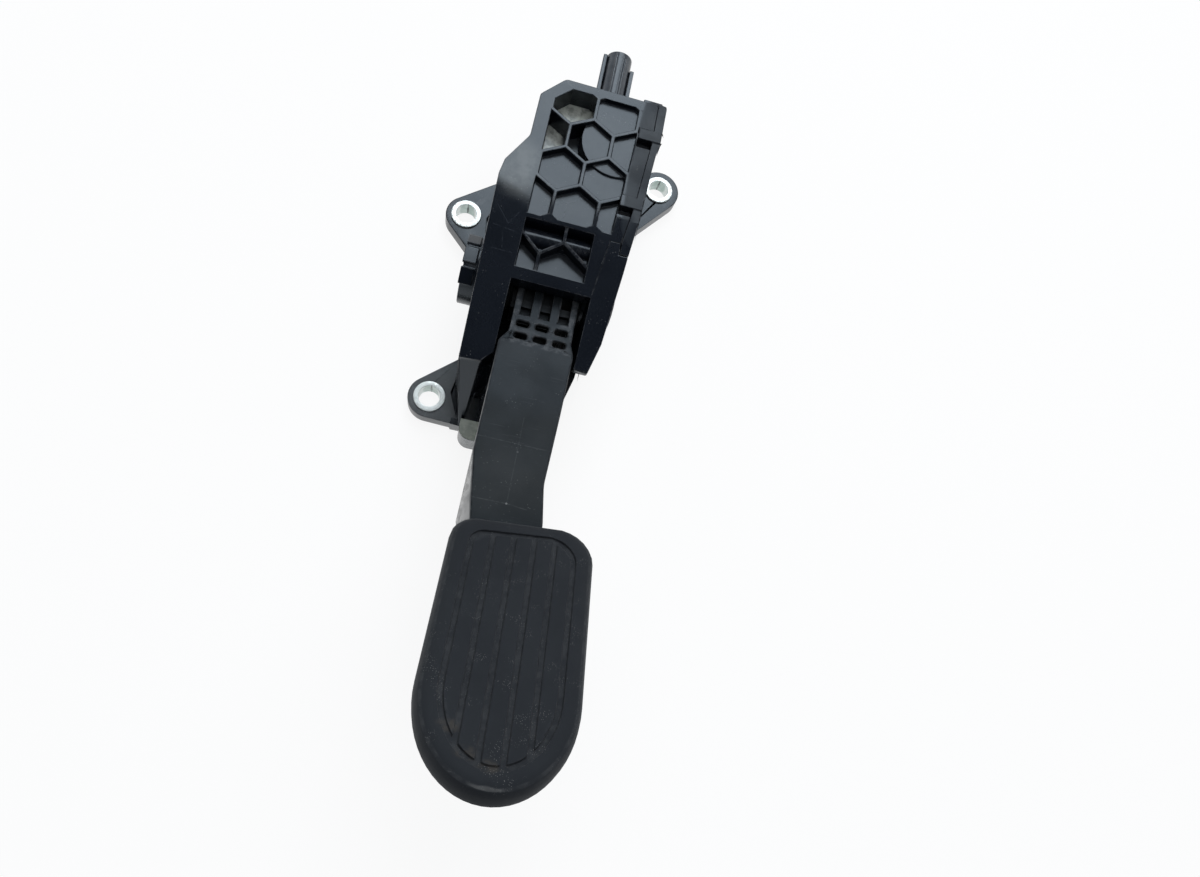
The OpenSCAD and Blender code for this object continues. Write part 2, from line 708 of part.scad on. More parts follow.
// Socket for the connector, on a bridge across the top wall
module socket() {
    translate([plug_x - plug_w / 2 - 2, top_y + side_gap, plug_z - plug_h / 2 - 1])
        cube([cover_x + cover_t - plug_x + plug_w / 2 + 2, bridge_t - side_gap, plug_h + 3]);
    translate([cover_x - 6.4, top_y + side_gap, plug_z]) cube([8, 1.9, front_z - plug_z - 1.4]);
    translate([plug_x, top_y + 1, plug_z]) rotate([-90, 0, 0]) difference() {
        union() {
            linear_extrude(bridge_t - 1 + plug_len) plug_outline(0);
            for (rib = [[-1, plug_len + bridge_t - 3], [1, plug_len - 4]])
                translate([rib[0] * (plug_w / 2 + 0.7) - 0.9, -plug_h / 2 + 2.8, 1]) cube([1.8, 2.4, rib[1]]);
            for (rib = [[-2.1, plug_len + bridge_t - 3], [1.8, plug_len - 1]])
                translate([rib[0], -plug_h / 2 - 0.2, 1]) cube([1, 1.4, rib[1]]);
        }
        translate([0, 0, bridge_t + 3]) linear_extrude(far) plug_outline(-plug_wall);
    }
}

module sensor_cover() {
    color(black_nylon) {
        difference() {
            union() {
                cover_shell();
                for (y = [clip_upper_y, clip_lower_y]) clip(y);
                socket();
                rod(cover_x - 4, dome_x, dome_d / 2);
                rod(bearing_x + side_gap, cover_x - 2, magnet_hub_r + running_gap + 3.4);
            }
            rod(bearing_x - cut, hub_end_x + 0.6, magnet_hub_r + running_gap);
            for (i = [1:PINS]) terminal_blade(i);
        }
        rod(sensor_x + 1.6, dome_x - 1, sensor_r);
    }
}

// Sensor

module magnet_holder() {
    color(natural_resin) difference() {
        rod(bearing_x + side_gap, hub_end_x, magnet_hub_r);
        rod(bearing_x - cut, shaft_end_x, shaft_d / 2);
        rod(ring_from_x, hub_end_x + cut, yoke_r);
    }
}

module sensor_yoke() {
    color(steel) difference() {
        rod(ring_from_x, hub_end_x, yoke_r);
        rod(ring_from_x - cut, hub_end_x + cut, yoke_r - yoke_t);
    }
}

// Magnet that covers a third of the ring, in front of the axis or behind it
module magnet(turn) {
    color(magnet_grey) translate([ring_from_x, 0, pivot_z]) rotate([turn, 0, 0]) rotate([0, 90, 0])
        rotate([0, 0, 120]) rotate_extrude(angle = 120)
            translate([yoke_r - yoke_t - magnet_t - glue_gap, 0]) square([magnet_t, magnet_depth]);
}

module hall_sensor() {
    color(sensor_black) difference() {
        rod(sensor_x - 0.8, sensor_x + 4, sensor_r - 0.4);
        rod(sensor_x + 1.6, sensor_x + 6, sensor_r + cut);
        for (side = [-1, 1]) translate([sensor_x - cut, side * 2.6 - 1, pivot_z - 5]) cube([6, 2, 10]);
    }
}

module terminal_blade(i) {
    z = plug_z + (i - (PINS + 1) / 2) * pin_pitch;
    translate([plug_x - pin_t / 2, top_y + 1.6, z - pin_t / 2]) cube([pin_t, 22, pin_t]);
}

module terminal(i) {
    color(tin) terminal_blade(i);
}

// Rotors and shaft

module pivot_shaft() {
    color(steel) rod(boss_x + 3.4, shaft_end_x, shaft_d / 2);
}

// Ring of helical saw teeth, or the ring that meshes with it. Each ramp is flat and ends in a straight face.
module tooth_ring(r_out, rise, count, mate = false) {
    turn = 360 / count;
    side = mate ? -1 : 1;
    reach = side * (r_out + 0.2) * sin(turn);
    for (k = [0:count - 1]) rotate([0, 0, k * turn]) intersection() {
        difference() {
            translate([0, 0, -cut]) cylinder(h = rise + 2 * cut, r = r_out);
            translate([0, 0, -2 * cut]) cylinder(h = rise + 4 * cut, r = shaft_d / 2 + 1.5);
        }
        translate([0, 0, -cut]) linear_extrude(rise + 2 * cut)
            polygon([[0, 0], [2 * r_out, 0], 2 * r_out * [cos(turn), side * sin(turn)]]);
        rotate([90, 0, 90]) linear_extrude(2 * r_out)
            polygon([[0, -cut], [0, mate ? rise : 0], [reach, mate ? 0 : rise], [reach, -cut]]);
    }
}

// Side view of the stop lever, from the hub to the tip that rests on the base
function stop_lever() = [
    [-6, pivot_z + 8], [10, pivot_z + 7], [lever_tip_y, 17], [lever_tip_y, base_t + 3],
    [lever_tip_y - 2, base_t + 1 + side_gap], [lever_tip_y - 12, base_t + 1 + side_gap], [8, pivot_z - 9.5],
    [-4, pivot_z - 9]];

module pedal_rotor() {
    left = chamber_left + plate_t + 2 * side_gap;
    color(arm_black) difference() {
        union() {
            rod(left, teeth_x, rotor_d / 2);
            translate([teeth_x, 0, pivot_z]) rotate([0, 90, 0])
                tooth_ring(rotor_d / 2 - 0.4, tooth_h, teeth);
            side_view(stop_lever(), left + 1, -4);
            translate([arm_x - finger_span / 2 + 1, spine_y - spine_t, pivot_z - 4])
                cube([finger_span - 2, spine_t, spine_z - pivot_z + 4]);
            translate([left + 1, spine_y - spine_t, pivot_z - 4])
                cube([teeth_x - left - 1, spine_t - spine_y, 14]);
            for (i = [-1:1])
                translate([arm_x + 1 + i * slot_pitch - slot_w / 2 + 0.1, slot_end_y + 0.2, pivot_z - 2])
                    cube([slot_w - 0.2, spine_y - slot_end_y, 12]);
        }
        rod(left - cut, teeth_x + tooth_h + cut, shaft_d / 2);
        for (side = [0, 1]) {
            x = side == 0 ? left : -4 - 3.5;
            side_view([[16, pivot_z + 1.5], [36, 21], [36, 16], [16, pivot_z - 7.5]], x - cut, x + 4 + cut);
            side_view([[39, 20], [lever_tip_y - 4, 13.5], [lever_tip_y - 4, 9], [39, 14.5]],
                x - cut, x + 4 + cut);
        }
    }
}

module hysteresis_rotor() {
    right = bearing_x - plate_t - side_gap;
    start = teeth_x + tooth_gap;
    color(natural_resin) difference() {
        union() {
            rod(start + tooth_h, right, rotor_d / 2);
            translate([start + tooth_h, 0, pivot_z]) rotate([0, -90, 0]) rotate([0, 0, 180 - 1])
                tooth_ring(rotor_d / 2 - 0.4, tooth_h, teeth, mate = true);
            side_view([[-4, pivot_z + 9], [10, pivot_z + 6], [spring_axis.y - 13.5, lever_face_z],
                [spring_axis.y + 6, lever_face_z], [spring_axis.y + 6, lever_face_z - 4],
                [spring_axis.y - 12, lever_face_z - 7], [4, pivot_z - 10]], start + tooth_h, right);
            translate([spring_axis.x, spring_axis.y, lever_face_z - 3.5])
                cylinder(h = 3.5, r = outer_coil_d / 2 + 0.6);
            side_view([[spring_axis.y - 20, lever_face_z - 2], [spring_axis.y, lever_face_z - 1],
                [spring_axis.y, lever_face_z - 6], [spring_axis.y - 14, lever_face_z - 7]],
                right - 1, right + 6);
        }
        rod(start - cut, right + cut, shaft_d / 2);
        side_view([[15, pivot_z - 0.5], [38, 19.2], [38, 14.5], [15, pivot_z - 7.5]],
            start, start + tooth_h + lever_wall);
        translate([spring_axis.x, spring_axis.y, lever_face_z - 2]) cylinder(h = 3, r = 3);
    }
}

module friction_plate(x) {
    color(natural_resin) difference() {
        rod(x, x + plate_t, rotor_d / 2 + 0.4);
        rod(x - cut, x + plate_t + cut, x > 0 ? magnet_hub_r + 0.3 : shaft_d / 2 + 0.4);
        for (a = [0:120:240]) translate([x - cut, 0, pivot_z]) rotate([a, 0, 0])
            translate([0, -1.2, rotor_d / 2 - 1.6]) cube([plate_t + 2 * cut, 2.4, 4]);
    }
}

// Return springs

module spring_holder() {
    color(natural_resin) translate([spring_axis.x, spring_axis.y, lever_face_z]) {
        cylinder(h = holder_t, r = outer_coil_d / 2 + outer_wire / 2);
        cylinder(h = holder_t + spring_pin_h, d = spring_pin_d);
        translate([0, 0, -1.8]) cylinder(h = 2, r = 2.7);
    }
}

// Helix with closed ends: the last turn at each end lies almost flat
module coil_spring(mean_d, wire, turns, z_from, z_to) {
    per = 16;
    n = turns * per;
    lift = z_to - z_from - wire;
    rise = function (t) let (k = t * turns) k < 1 ? 0.6 * wire * k
        : k > turns - 1 ? lift - 0.6 * wire * (turns - k)
        : 0.6 * wire + (lift - 1.2 * wire) * (k - 1) / (turns - 2);
    at = function (t) [mean_d / 2 * cos(360 * turns * t), mean_d / 2 * sin(360 * turns * t), rise(t)];
    rings = [for (i = [0:n]) let (t = i / n, a = 360 * turns * t)
        let (u = [cos(a), sin(a), 0], ahead = at(min(t + 0.5 / n, 1)) - at(max(t - 0.5 / n, 0)))
        let (w = unit(ahead - u * (ahead * u)), v = cross(w, u))
        [for (j = [0:7]) at(t) + wire / 2 * (cos(45 * j) * u + sin(45 * j) * v)]];
    color(steel) translate([spring_axis.x, spring_axis.y, z_from + wire / 2]) loft(rings);
}

// Arm

// Side view of the arm: the front down to the pad's plate, then the back up to the rotor
function arm_front(skin) = [
    [arm_top_y, finger_z - skin], [slot_end_y, finger_z + 2 - skin], [-34, finger_z + 5 - skin],
    [crease_y, finger_z + 10.5 - skin], [pad_y + 7.5, finger_z + 13.2 - skin],
    [pad_y - 3, finger_z + 15 - skin]];
arm_back = [[pad_y - 52, pad_z + 18], [pad_y - 24, pad_z - 8], [pad_y - 2, pad_z - 23],
    [(pad_y + heel_y) / 2 - 3, pad_z - 30.5], [heel_y, pivot_z + heel_h], [heel_y / 2 - 11, pivot_z + 2],
    [slot_end_y - 3, pivot_z - 3], [spine_y - spine_t, pivot_z - 4]];

// Plan of the arm, moved inwards by the wall
function arm_plan(inset) =
    let (w = arm_w / 2 - inset, f = finger_span / 2 - inset, l = arm_low_w / 2 - inset)
    rounded([
        [arm_x + 1 - f, arm_top_y + 1, 0], [arm_x + 1 - f, shoulder_y + 5, 3], [arm_x - w, shoulder_y, 3],
        [arm_x - w, arm_end_y, 0], [arm_low_x + l, arm_end_y, 0], [arm_low_x + l, waist_y - 15, 12],
        [arm_x + w - 1, waist_y, 12], [arm_x + w, -60, 30], [arm_x + w + 0.6, shoulder_y, 3],
        [arm_x + 1 + f, shoulder_y + 5, 3], [arm_x + 1 + f, arm_top_y + 1, 0]]);

// Everything to the left of the plane through three points, moved inwards by the wall
module beyond_plane(a, b, c, inset) {
    out = -unit(cross(b - a, c - a));
    translate(a) rotate([0, acos(out.z), atan2(out.y, out.x)])
        translate([-far, -far, -inset]) cube(2 * far);
}

// What the slanted flank at the arm's lower left leaves out, above the pad and behind it
module beyond_flank(inset) {
    above = [arm_x - arm_w / 2, flank_y, pad_z - 14];
    below = [arm_low_x - arm_low_w / 2, pad_y, pad_z - 11];
    behind = [arm_x - arm_w / 2 - 0.5, pad_y, pad_z - 25];
    intersection() {
        beyond_plane(above, below, behind, inset);
        beyond_plane(below, below - [0, 10, 0], behind, inset);
    }
}

module arm_envelope() {
    difference() {
        intersection() {
            linear_extrude(far) polygon(arm_plan(0));
            side_view(concat(arm_front(0), [pad_at(-1, -pad_face_t - pad_plate_t),
                pad_at(-58, -pad_face_t - pad_plate_t)], arm_back), -far, far);
        }
        beyond_flank(0);
    }
}

// Hollow of the arm, open at the back, with crossed ribs left standing
module arm_hollow() {
    difference() {
        intersection() {
            translate([0, 0, -cut]) linear_extrude(far) polygon(arm_plan(arm_wall));
            side_view(concat([for (p = arm_front(arm_skin)) [min(p.x, slot_end_y - 2.5), p.y]],
                [pad_at(-6, -pad_face_t - pad_plate_t - 1.5), pad_at(-50, -pad_face_t - pad_plate_t - 1.5),
                [-150, 0], [slot_end_y - 2.5, 0]]), -far, far);
        }
        beyond_flank(arm_wall);
        arm_ribs();
    }
}

module arm_ribs() {
    pitch = (slot_end_y - pad_y + 18.5) / 5;
    for (i = [0:4], side = [-1, 1])
        translate([i < 4 ? arm_x : arm_low_x, slot_end_y - 2.5 - (i + 0.5) * pitch, 0])
            rotate([0, 0, 45 * side]) translate([-far / 2, -rib_t / 2, 0]) cube([far, rib_t, far]);
    for (i = [-2:2]) translate([arm_x + 1 + (i - 0.5) * slot_pitch - rib_t / 2, slot_end_y - 13.5, 0])
        cube([rib_t, 13, far]);
}

module pad_plate() {
    translate([0, pad_y, pad_z]) rotate([-pad_tilt, 0, 0])
        translate([0, 0, -pad_face_t - pad_plate_t]) linear_extrude(pad_plate_t)
            polygon(pad_outline(pad_rim));
}

module pedal_arm() {
    color(arm_black) {
        difference() {
            arm_envelope();
            arm_hollow();
            translate([-far, spine_y - spine_t - 0.1, 0]) cube([2 * far, far, spine_z + 0.1]);
            for (i = [-1:1]) {
                x = arm_x + 1 + i * slot_pitch;
                translate([x - slot_w / 2, slot_end_y, 0]) cube([slot_w, far, far]);
                for (y = [slot_end_y - 4.4, slot_end_y - 10]) translate([x, y, 0]) linear_extrude(far)
                    polygon(rounded([[-2.6, -1.3, 1], [2.6, -1.3, 1], [2.6, 1.3, 1], [-2.6, 1.3, 1]]));
            }
        }
        pad_plate();
    }
}

// Pad

// Outline of the pad on its own axes, moved inwards: straight sides and a half ellipse at the lower end
function pad_outline(inset) =
    let (w = pad_w / 2 - inset, top = pad_crown - inset, r = pad_corner - 0.4 * inset)
    let (bend = -pad_len / 1.5, drop = pad_len + bend - inset)
    concat(
        [for (i = [1:pad_facets - 1]) let (a = 180 * i / pad_facets)
            [pad_x - w * cos(a), bend - drop * sin(a)]],
        [[pad_x + w, bend]],
        arc([pad_x + w - r, top - r], r, 0, 86, 6),
        arc([pad_x - w + r - 4, top - r + 1], r - 4, 97, 83, 5),
        [[pad_x - w, bend]]);

module pad_ring(outer, inner, depth) {
    translate([0, 0, -depth]) linear_extrude(depth + cut) difference() {
        polygon(pad_outline(outer));
        polygon(pad_outline(inner));
    }
}

// Rubber body with a rounded rim that curls over the plate's edge
module pad_body() {
    steps = [[1.4, -pad_t], [0.3, -pad_t + 1.4], [0, -pad_t + 3.5], [0.3, -3],
        [1.2, -1.2], [2.6, -0.3], [4.4, 0]];
    loft([for (s = steps) [for (p = pad_outline(s[0])) [p.x, p.y, s[1]]]]);
}

module pad_grooves() {
    inner = pad_w - 2 * pad_border - 2 * groove_w;
    pitch = (inner + groove_w) / strips;
    pad_ring(pad_border, pad_border + groove_w, groove_d);
    intersection() {
        translate([0, 0, -groove_d]) linear_extrude(groove_d + cut) polygon(pad_outline(pad_border));
        for (i = [1:strips - 1]) translate([pad_x - inner / 2 - groove_w + i * pitch, -far, -groove_d])
            cube([groove_w, 2 * far, far]);
    }
}

module pedal_pad() {
    color(rubber_black) difference() {
        translate([0, pad_y, pad_z]) rotate([-pad_tilt, 0, 0]) difference() {
            pad_body();
            pad_grooves();
            translate([0, 0, -pad_face_t - pad_plate_t])
                linear_extrude(pad_plate_t) polygon(pad_outline(pad_rim));
            translate([0, 0, -far]) linear_extrude(far - pad_face_t - pad_plate_t + 0.01)
                polygon(pad_outline(pad_rim + 2));
        }
        arm_envelope();
    }
}

housing();
sensor_cover();
mount_sleeve(lower_ear);  // mount_sleeve_lower
mount_sleeve(upper_ear);  // mount_sleeve_upper
mount_sleeve(right_ear);  // mount_sleeve_right
pedal_arm();
pedal_pad();
pivot_shaft();
pedal_rotor();
hysteresis_rotor();
friction_plate(chamber_left + side_gap);  // friction_plate_left
friction_plate(bearing_x - plate_t);  // friction_plate_right
spring_holder();
coil_spring(outer_coil_d, outer_wire, outer_turns, lever_face_z + holder_t, spring_top_z);  // outer_return_spring
coil_spring(inner_coil_d, inner_wire, inner_turns, lever_face_z + holder_t, spring_top_z);  // inner_return_spring
magnet_holder();
sensor_yoke();
magnet(0);  // magnet_front
magnet(180);  // magnet_rear
hall_sensor();
terminal(1);  // terminal_1
terminal(2);  // terminal_2
terminal(3);  // terminal_3
terminal(4);  // terminal_4
terminal(5);  // terminal_5
terminal(6);  // terminal_6
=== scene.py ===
"""Looks of the accelerator pedal: softened edges, finishes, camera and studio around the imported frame."""

from __future__ import annotations

import logging
import math
from dataclasses import dataclass, field
from enum import Enum

import bmesh
import bpy
from mathutils import Matrix, Vector


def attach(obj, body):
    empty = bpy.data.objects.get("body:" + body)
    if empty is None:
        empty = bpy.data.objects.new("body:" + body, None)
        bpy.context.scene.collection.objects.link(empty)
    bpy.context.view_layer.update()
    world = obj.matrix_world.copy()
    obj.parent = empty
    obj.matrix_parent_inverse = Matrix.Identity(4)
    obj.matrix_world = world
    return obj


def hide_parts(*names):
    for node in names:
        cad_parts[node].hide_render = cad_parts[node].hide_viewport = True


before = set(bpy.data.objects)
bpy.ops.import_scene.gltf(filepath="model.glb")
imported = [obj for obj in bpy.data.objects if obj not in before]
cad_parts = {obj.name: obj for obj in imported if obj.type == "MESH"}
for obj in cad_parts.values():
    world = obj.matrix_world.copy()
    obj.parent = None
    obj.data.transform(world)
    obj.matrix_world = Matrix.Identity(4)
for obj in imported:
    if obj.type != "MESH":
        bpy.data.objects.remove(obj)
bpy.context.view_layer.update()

logging.basicConfig(level=logging.INFO, format="%(name)s: %(message)s")
LOG = logging.getLogger("pedal")

MM = 0.001
EDGE_ATTRIBUTE = "edge"
# Points of a CAD mesh that lie closer together are one point
MERGE_DISTANCE = 0.004 * MM
# Slack in telling whether a face lies at a level
LEVEL_SLACK = 0.02 * MM
# Faces that bend less are one flat face
FLAT_ANGLE = math.radians(0.6)
# Faces that bend less are shaded as one surface
SMOOTH_ANGLE = math.radians(32)
# Greatest width of a softened edge's faces, as a share of the bevel's width
STRIP_SHARE = 1.4

Triple = tuple[float, float, float]
Colour = tuple[float, float, float, float]


class Slot(Enum):
    """Material slots of the record that the pieces take their finish from."""

    HOUSING = "housing_nylon"
    ARM = "arm_nylon"
    PAD = "pad_rubber"
    SLEEVE = "sleeve_zinc"
    SHAFT = "shaft_steel"
    SPRING = "spring_steel"
    RESIN = "bearing_resin"
    YOKE = "yoke_steel"
    MAGNET = "magnet"
    SENSOR = "sensor"
    TERMINAL = "terminal_tin"


class Body(Enum):
    """Rigid bodies of the frame."""

    HOUSING = "housing"
    PEDAL = "pedal"


@dataclass
class Wiring:
    """Builds and joins the nodes of one node tree.

    Args:
        tree: The material's tree or the group that the nodes go into.
    """

    tree: bpy.types.NodeTree

    def add(self, kind: str, **settings: object) -> bpy.types.Node:
        """Adds one node and sets its properties.

        Args:
            kind: The node's type name.
            settings: Properties of the node by name.

        Returns:
            The new node.
        """
        node = self.tree.nodes.new(kind)
        for name, value in settings.items():
            setattr(node, name, value)
        return node

    def join(self, source: object, target: object) -> None:
        """Links one socket to another.

        Args:
            source: Output socket.
            target: Input socket.
        """
        self.tree.links.new(source, target)

    def feed(self, node: bpy.types.Node, **inputs: object) -> bpy.types.Node:
        """Gives values or links to a node's inputs, named with underscores for spaces.

        Args:
            node: The node whose inputs are set.
            inputs: A number, a colour or an output socket for each input.

        Returns:
            The same node.
        """
        for name, value in inputs.items():
            socket = node.inputs[name.replace("_", " ")]
            if isinstance(value, bpy.types.NodeSocket):
                self.join(value, socket)
            else:
                socket.default_value = value
        return node

    def maths(self, operation: str, first: object, second: object = 0.0) -> bpy.types.NodeSocket:
        """Adds a Math node.

        Args:
            operation: The operation's name, such as MULTIPLY.
            first: A number or socket.
            second: A number or socket.

        Returns:
            The result's socket.
        """
        node = self.add("ShaderNodeMath", operation=operation)
        for socket, value in zip(node.inputs, (first, second)):
            if isinstance(value, bpy.types.NodeSocket):
                self.join(value, socket)
            else:
                socket.default_value = value
        return node.outputs[0]

    def ramp(self, value: object, low: object, high: object, to_low: object = 0.0,
             to_high: object = 1.0) -> bpy.types.NodeSocket:
        """Maps a value smoothly from one range to another.

        Args:
            value: The socket that is mapped.
            low: Value that gives to_low.
            high: Value that gives to_high.
            to_low: Result at low.
            to_high: Result at high.

        Returns:
            The result's socket.
        """
        node = self.add("ShaderNodeMapRange", interpolation_type="SMOOTHSTEP")
        self.feed(node, Value=value, From_Min=low, From_Max=high, To_Min=to_low, To_Max=to_high)
        return node.outputs["Result"]

    def vector(self, operation: str, first: object, second: object = (0.0, 0.0, 0.0)) -> bpy.types.NodeSocket:
        """Adds a Vector Math node.

        Args:
            operation: The operation's name, such as SUBTRACT.
            first: A vector or socket.
            second: A vector or socket.

        Returns:
            The result's socket, a number for a length or a dot product.
        """
        node = self.add("ShaderNodeVectorMath", operation=operation)
        for socket, value in zip(node.inputs, (first, second)):
            if isinstance(value, bpy.types.NodeSocket):
                self.join(value, socket)
            else:
                socket.default_value = value
        return node.outputs["Value" if operation in ("LENGTH", "DOT_PRODUCT") else "Vector"]

    def noise(self, vector: object, scale: object, detail: float = 2.0,
              roughness: float = 0.5) -> bpy.types.NodeSocket:
        """Adds a Noise texture.

        Args:
            vector: Socket of the place that is read.
            scale: Scale per metre, a number or socket.
            detail: Layers of finer noise.
            roughness: Strength of the finer layers.

        Returns:
            The value's socket.
        """
        node = self.add("ShaderNodeTexNoise")
        self.feed(node, Vector=vector, Scale=scale, Detail=detail, Roughness=roughness)
        return node.outputs[0]

    def place(self) -> bpy.types.NodeSocket:
        """Returns the socket of the Object coordinates."""
        return self.add("ShaderNodeTexCoord").outputs["Object"]

    def normal(self) -> bpy.types.NodeSocket:
        """Returns the socket of the surface's normal."""
        return self.add("ShaderNodeNewGeometry").outputs["Normal"]

    def upward(self) -> bpy.types.NodeSocket:
        """Returns the socket of the normal's upward part."""
        parts = self.add("ShaderNodeSeparateXYZ")
        self.join(self.normal(), parts.inputs[0])
        return parts.outputs["Z"]

    def blend(self, mask: object, first: object, second: object) -> bpy.types.NodeSocket:
        """Mixes two colours by a mask.

        Args:
            mask: Share of the second colour.
            first: Colour or socket where the mask is 0.
            second: Colour or socket where the mask is 1.

        Returns:
            The colour's socket.
        """
        node = self.add("ShaderNodeMix", data_type="RGBA")
        for socket, value in ((node.inputs[0], mask), (node.inputs[6], first), (node.inputs[7], second)):
            if isinstance(value, bpy.types.NodeSocket):
                self.join(value, socket)
            else:
                socket.default_value = value
        return node.outputs[2]


@dataclass
class Effects:
    """Shader groups that several finishes share, each built once."""

    built: dict[str, bpy.types.NodeTree] = field(default_factory=dict)

    def group(self, name: str, inputs: dict[str, object],
              outputs: dict[str, str]) -> tuple[Wiring, bpy.types.Node, bpy.types.Node]:
        """Makes an empty shader group with named sockets.

        Args:
            name: Name of the group.
            inputs: Default number or vector of each input by name.
            outputs: Socket type of each output by name.

        Returns:
            The group's wiring, its input node and its output node.
        """
        tree = bpy.data.node_groups.new(name, "ShaderNodeTree")
        for label, value in inputs.items():
            kind = "NodeSocketVector" if isinstance(value, tuple) else "NodeSocketFloat"
            socket = tree.interface.new_socket(name=label, in_out="INPUT", socket_type=kind)
            socket.default_value = value
        for label, kind in outputs.items():
            tree.interface.new_socket(name=label, in_out="OUTPUT", socket_type=kind)
        wiring = Wiring(tree)
        return wiring, wiring.add("NodeGroupInput"), wiring.add("NodeGroupOutput")

    def grain(self) -> bpy.types.NodeTree:
        """Returns the group for the fine grain of a moulded surface and its slow variation."""
        if "grain" not in self.built:
            inputs = {"Grain": 2600.0, "Cloud": 55.0}
            outputs = {"Height": "NodeSocketFloat", "Cloud": "NodeSocketFloat"}
            w, given, result = self.group("moulded_grain", inputs, outputs)
            place = w.place()
            fine = w.noise(place, given.outputs["Grain"], 3.0, 0.6)
            coarse = w.noise(place, w.maths("MULTIPLY", given.outputs["Grain"], 0.23), 2.0)
            w.join(w.maths("ADD", w.maths("MULTIPLY", fine, 0.7), w.maths("MULTIPLY", coarse, 0.3)),
                   result.inputs["Height"])
            w.join(w.ramp(w.noise(place, given.outputs["Cloud"], 4.0), 0.32, 0.68), result.inputs["Cloud"])
            self.built["grain"] = w.tree
        return self.built["grain"]

    def wear(self) -> bpy.types.NodeTree:
        """Returns the group for the wear along a piece's outer edges, read from its edge attribute."""
        if "wear" not in self.built:
            w, given, result = self.group("edge_wear", {"Patch": 300.0}, {"Mask": "NodeSocketFloat"})
            place = w.place()
            edge = w.add("ShaderNodeAttribute", attribute_name=EDGE_ATTRIBUTE).outputs["Fac"]
            patch = w.ramp(w.noise(place, given.outputs["Patch"], 4.0, 0.65), 0.42, 0.62, 0.15, 1.0)
            w.join(w.maths("MULTIPLY", edge, patch), result.inputs["Mask"])
            self.built["wear"] = w.tree
        return self.built["wear"]

    def dust(self) -> bpy.types.NodeTree:
        """Returns the group for specks and a thin film of dust on what faces up."""
        if "dust" not in self.built:
            inputs = {"Speck": 900.0, "Amount": 0.3}
            outputs = {"Specks": "NodeSocketFloat", "Film": "NodeSocketFloat"}
            w, given, result = self.group("dust", inputs, outputs)
            place = w.place()
            upward = w.upward()
            up = w.ramp(upward, 0.35, 0.9)
            cells = w.add("ShaderNodeTexVoronoi", feature="F1")
            w.feed(cells, Vector=place, Scale=given.outputs["Speck"], Randomness=1.0)
            seen = w.ramp(w.noise(place, 140.0, 2.0), 0.52, 0.66)
            near = w.ramp(cells.outputs["Distance"], 0.10, 0.22, 1.0, 0.0)
            specks = w.maths("MULTIPLY", w.maths("MULTIPLY", near, seen), up)
            w.join(w.maths("MULTIPLY", specks, given.outputs["Amount"]), result.inputs["Specks"])
            level = w.ramp(upward, 0.984, 0.998)
            clouds = w.ramp(w.noise(place, 38.0, 5.0, 0.6), 0.30, 0.72, 0.35, 1.0)
            film = w.maths("MULTIPLY", clouds, level)
            w.join(w.maths("MULTIPLY", film, given.outputs["Amount"]), result.inputs["Film"])
            self.built["dust"] = w.tree
        return self.built["dust"]

    def scratches(self) -> bpy.types.NodeTree:
        """Returns the group for fine scratches that run mostly across a piece."""
        if "scratches" not in self.built:
            w, given, result = self.group("scratches", {"Density": 1.0}, {"Mask": "NodeSocketFloat"})
            place = w.place()
            layers = []
            for turn, stretch in ((0.5, 0.06), (-0.35, 0.05), (1.9, 0.04)):
                mapping = w.add("ShaderNodeMapping")
                w.feed(mapping, Vector=place, Rotation=(0.0, 0.0, turn), Scale=(stretch, 1.0, 0.4))
                layers.append(w.ramp(w.noise(mapping.outputs[0], 1700.0, 1.0), 0.70, 0.74))
            lines = w.maths("MAXIMUM", w.maths("MAXIMUM", layers[0], layers[1]), layers[2])
            patch = w.ramp(w.noise(place, 90.0, 3.0), 0.42, 0.62)
            w.join(w.maths("MULTIPLY", w.maths("MULTIPLY", lines, patch), given.outputs["Density"]),
                   result.inputs["Mask"])
            self.built["scratches"] = w.tree
        return self.built["scratches"]

    def patch(self) -> bpy.types.NodeTree:
        """Returns the group for a soft-edged patch: an ellipsoid in the frame, on faces that look one way."""
        if "patch" not in self.built:
            inputs = {"Centre": (0.0, 0.0, 0.0), "Radii": (1.0, 1.0, 1.0), "Facing": (0.0, 0.0, 0.0),
                      "Least": -1.0, "Mottle": 200.0, "Calm": 1.0, "Soft": 0.3}
            w, given, result = self.group("stain_and_painted_light_patch", inputs, {"Mask": "NodeSocketFloat"})
            place = w.place()
            away = w.vector("SUBTRACT", place, given.outputs["Centre"])
            reach = w.vector("LENGTH", w.vector("DIVIDE", away, given.outputs["Radii"]))
            inside = w.ramp(reach, w.maths("SUBTRACT", 1.0, given.outputs["Soft"]), 1.0, 1.0, 0.0)
            looks = w.vector("DOT_PRODUCT", w.normal(), given.outputs["Facing"])
            least = given.outputs["Least"]
            facing = w.ramp(looks, least, w.maths("ADD", least, 0.2))
            mottle = w.noise(place, given.outputs["Mottle"], 4.0, 0.6)
            broken = w.ramp(mottle, 0.38, 0.6, given.outputs["Calm"], 1.0)
            w.join(w.maths("MULTIPLY", w.maths("MULTIPLY", inside, facing), broken), result.inputs["Mask"])
            self.built["patch"] = w.tree
        return self.built["patch"]

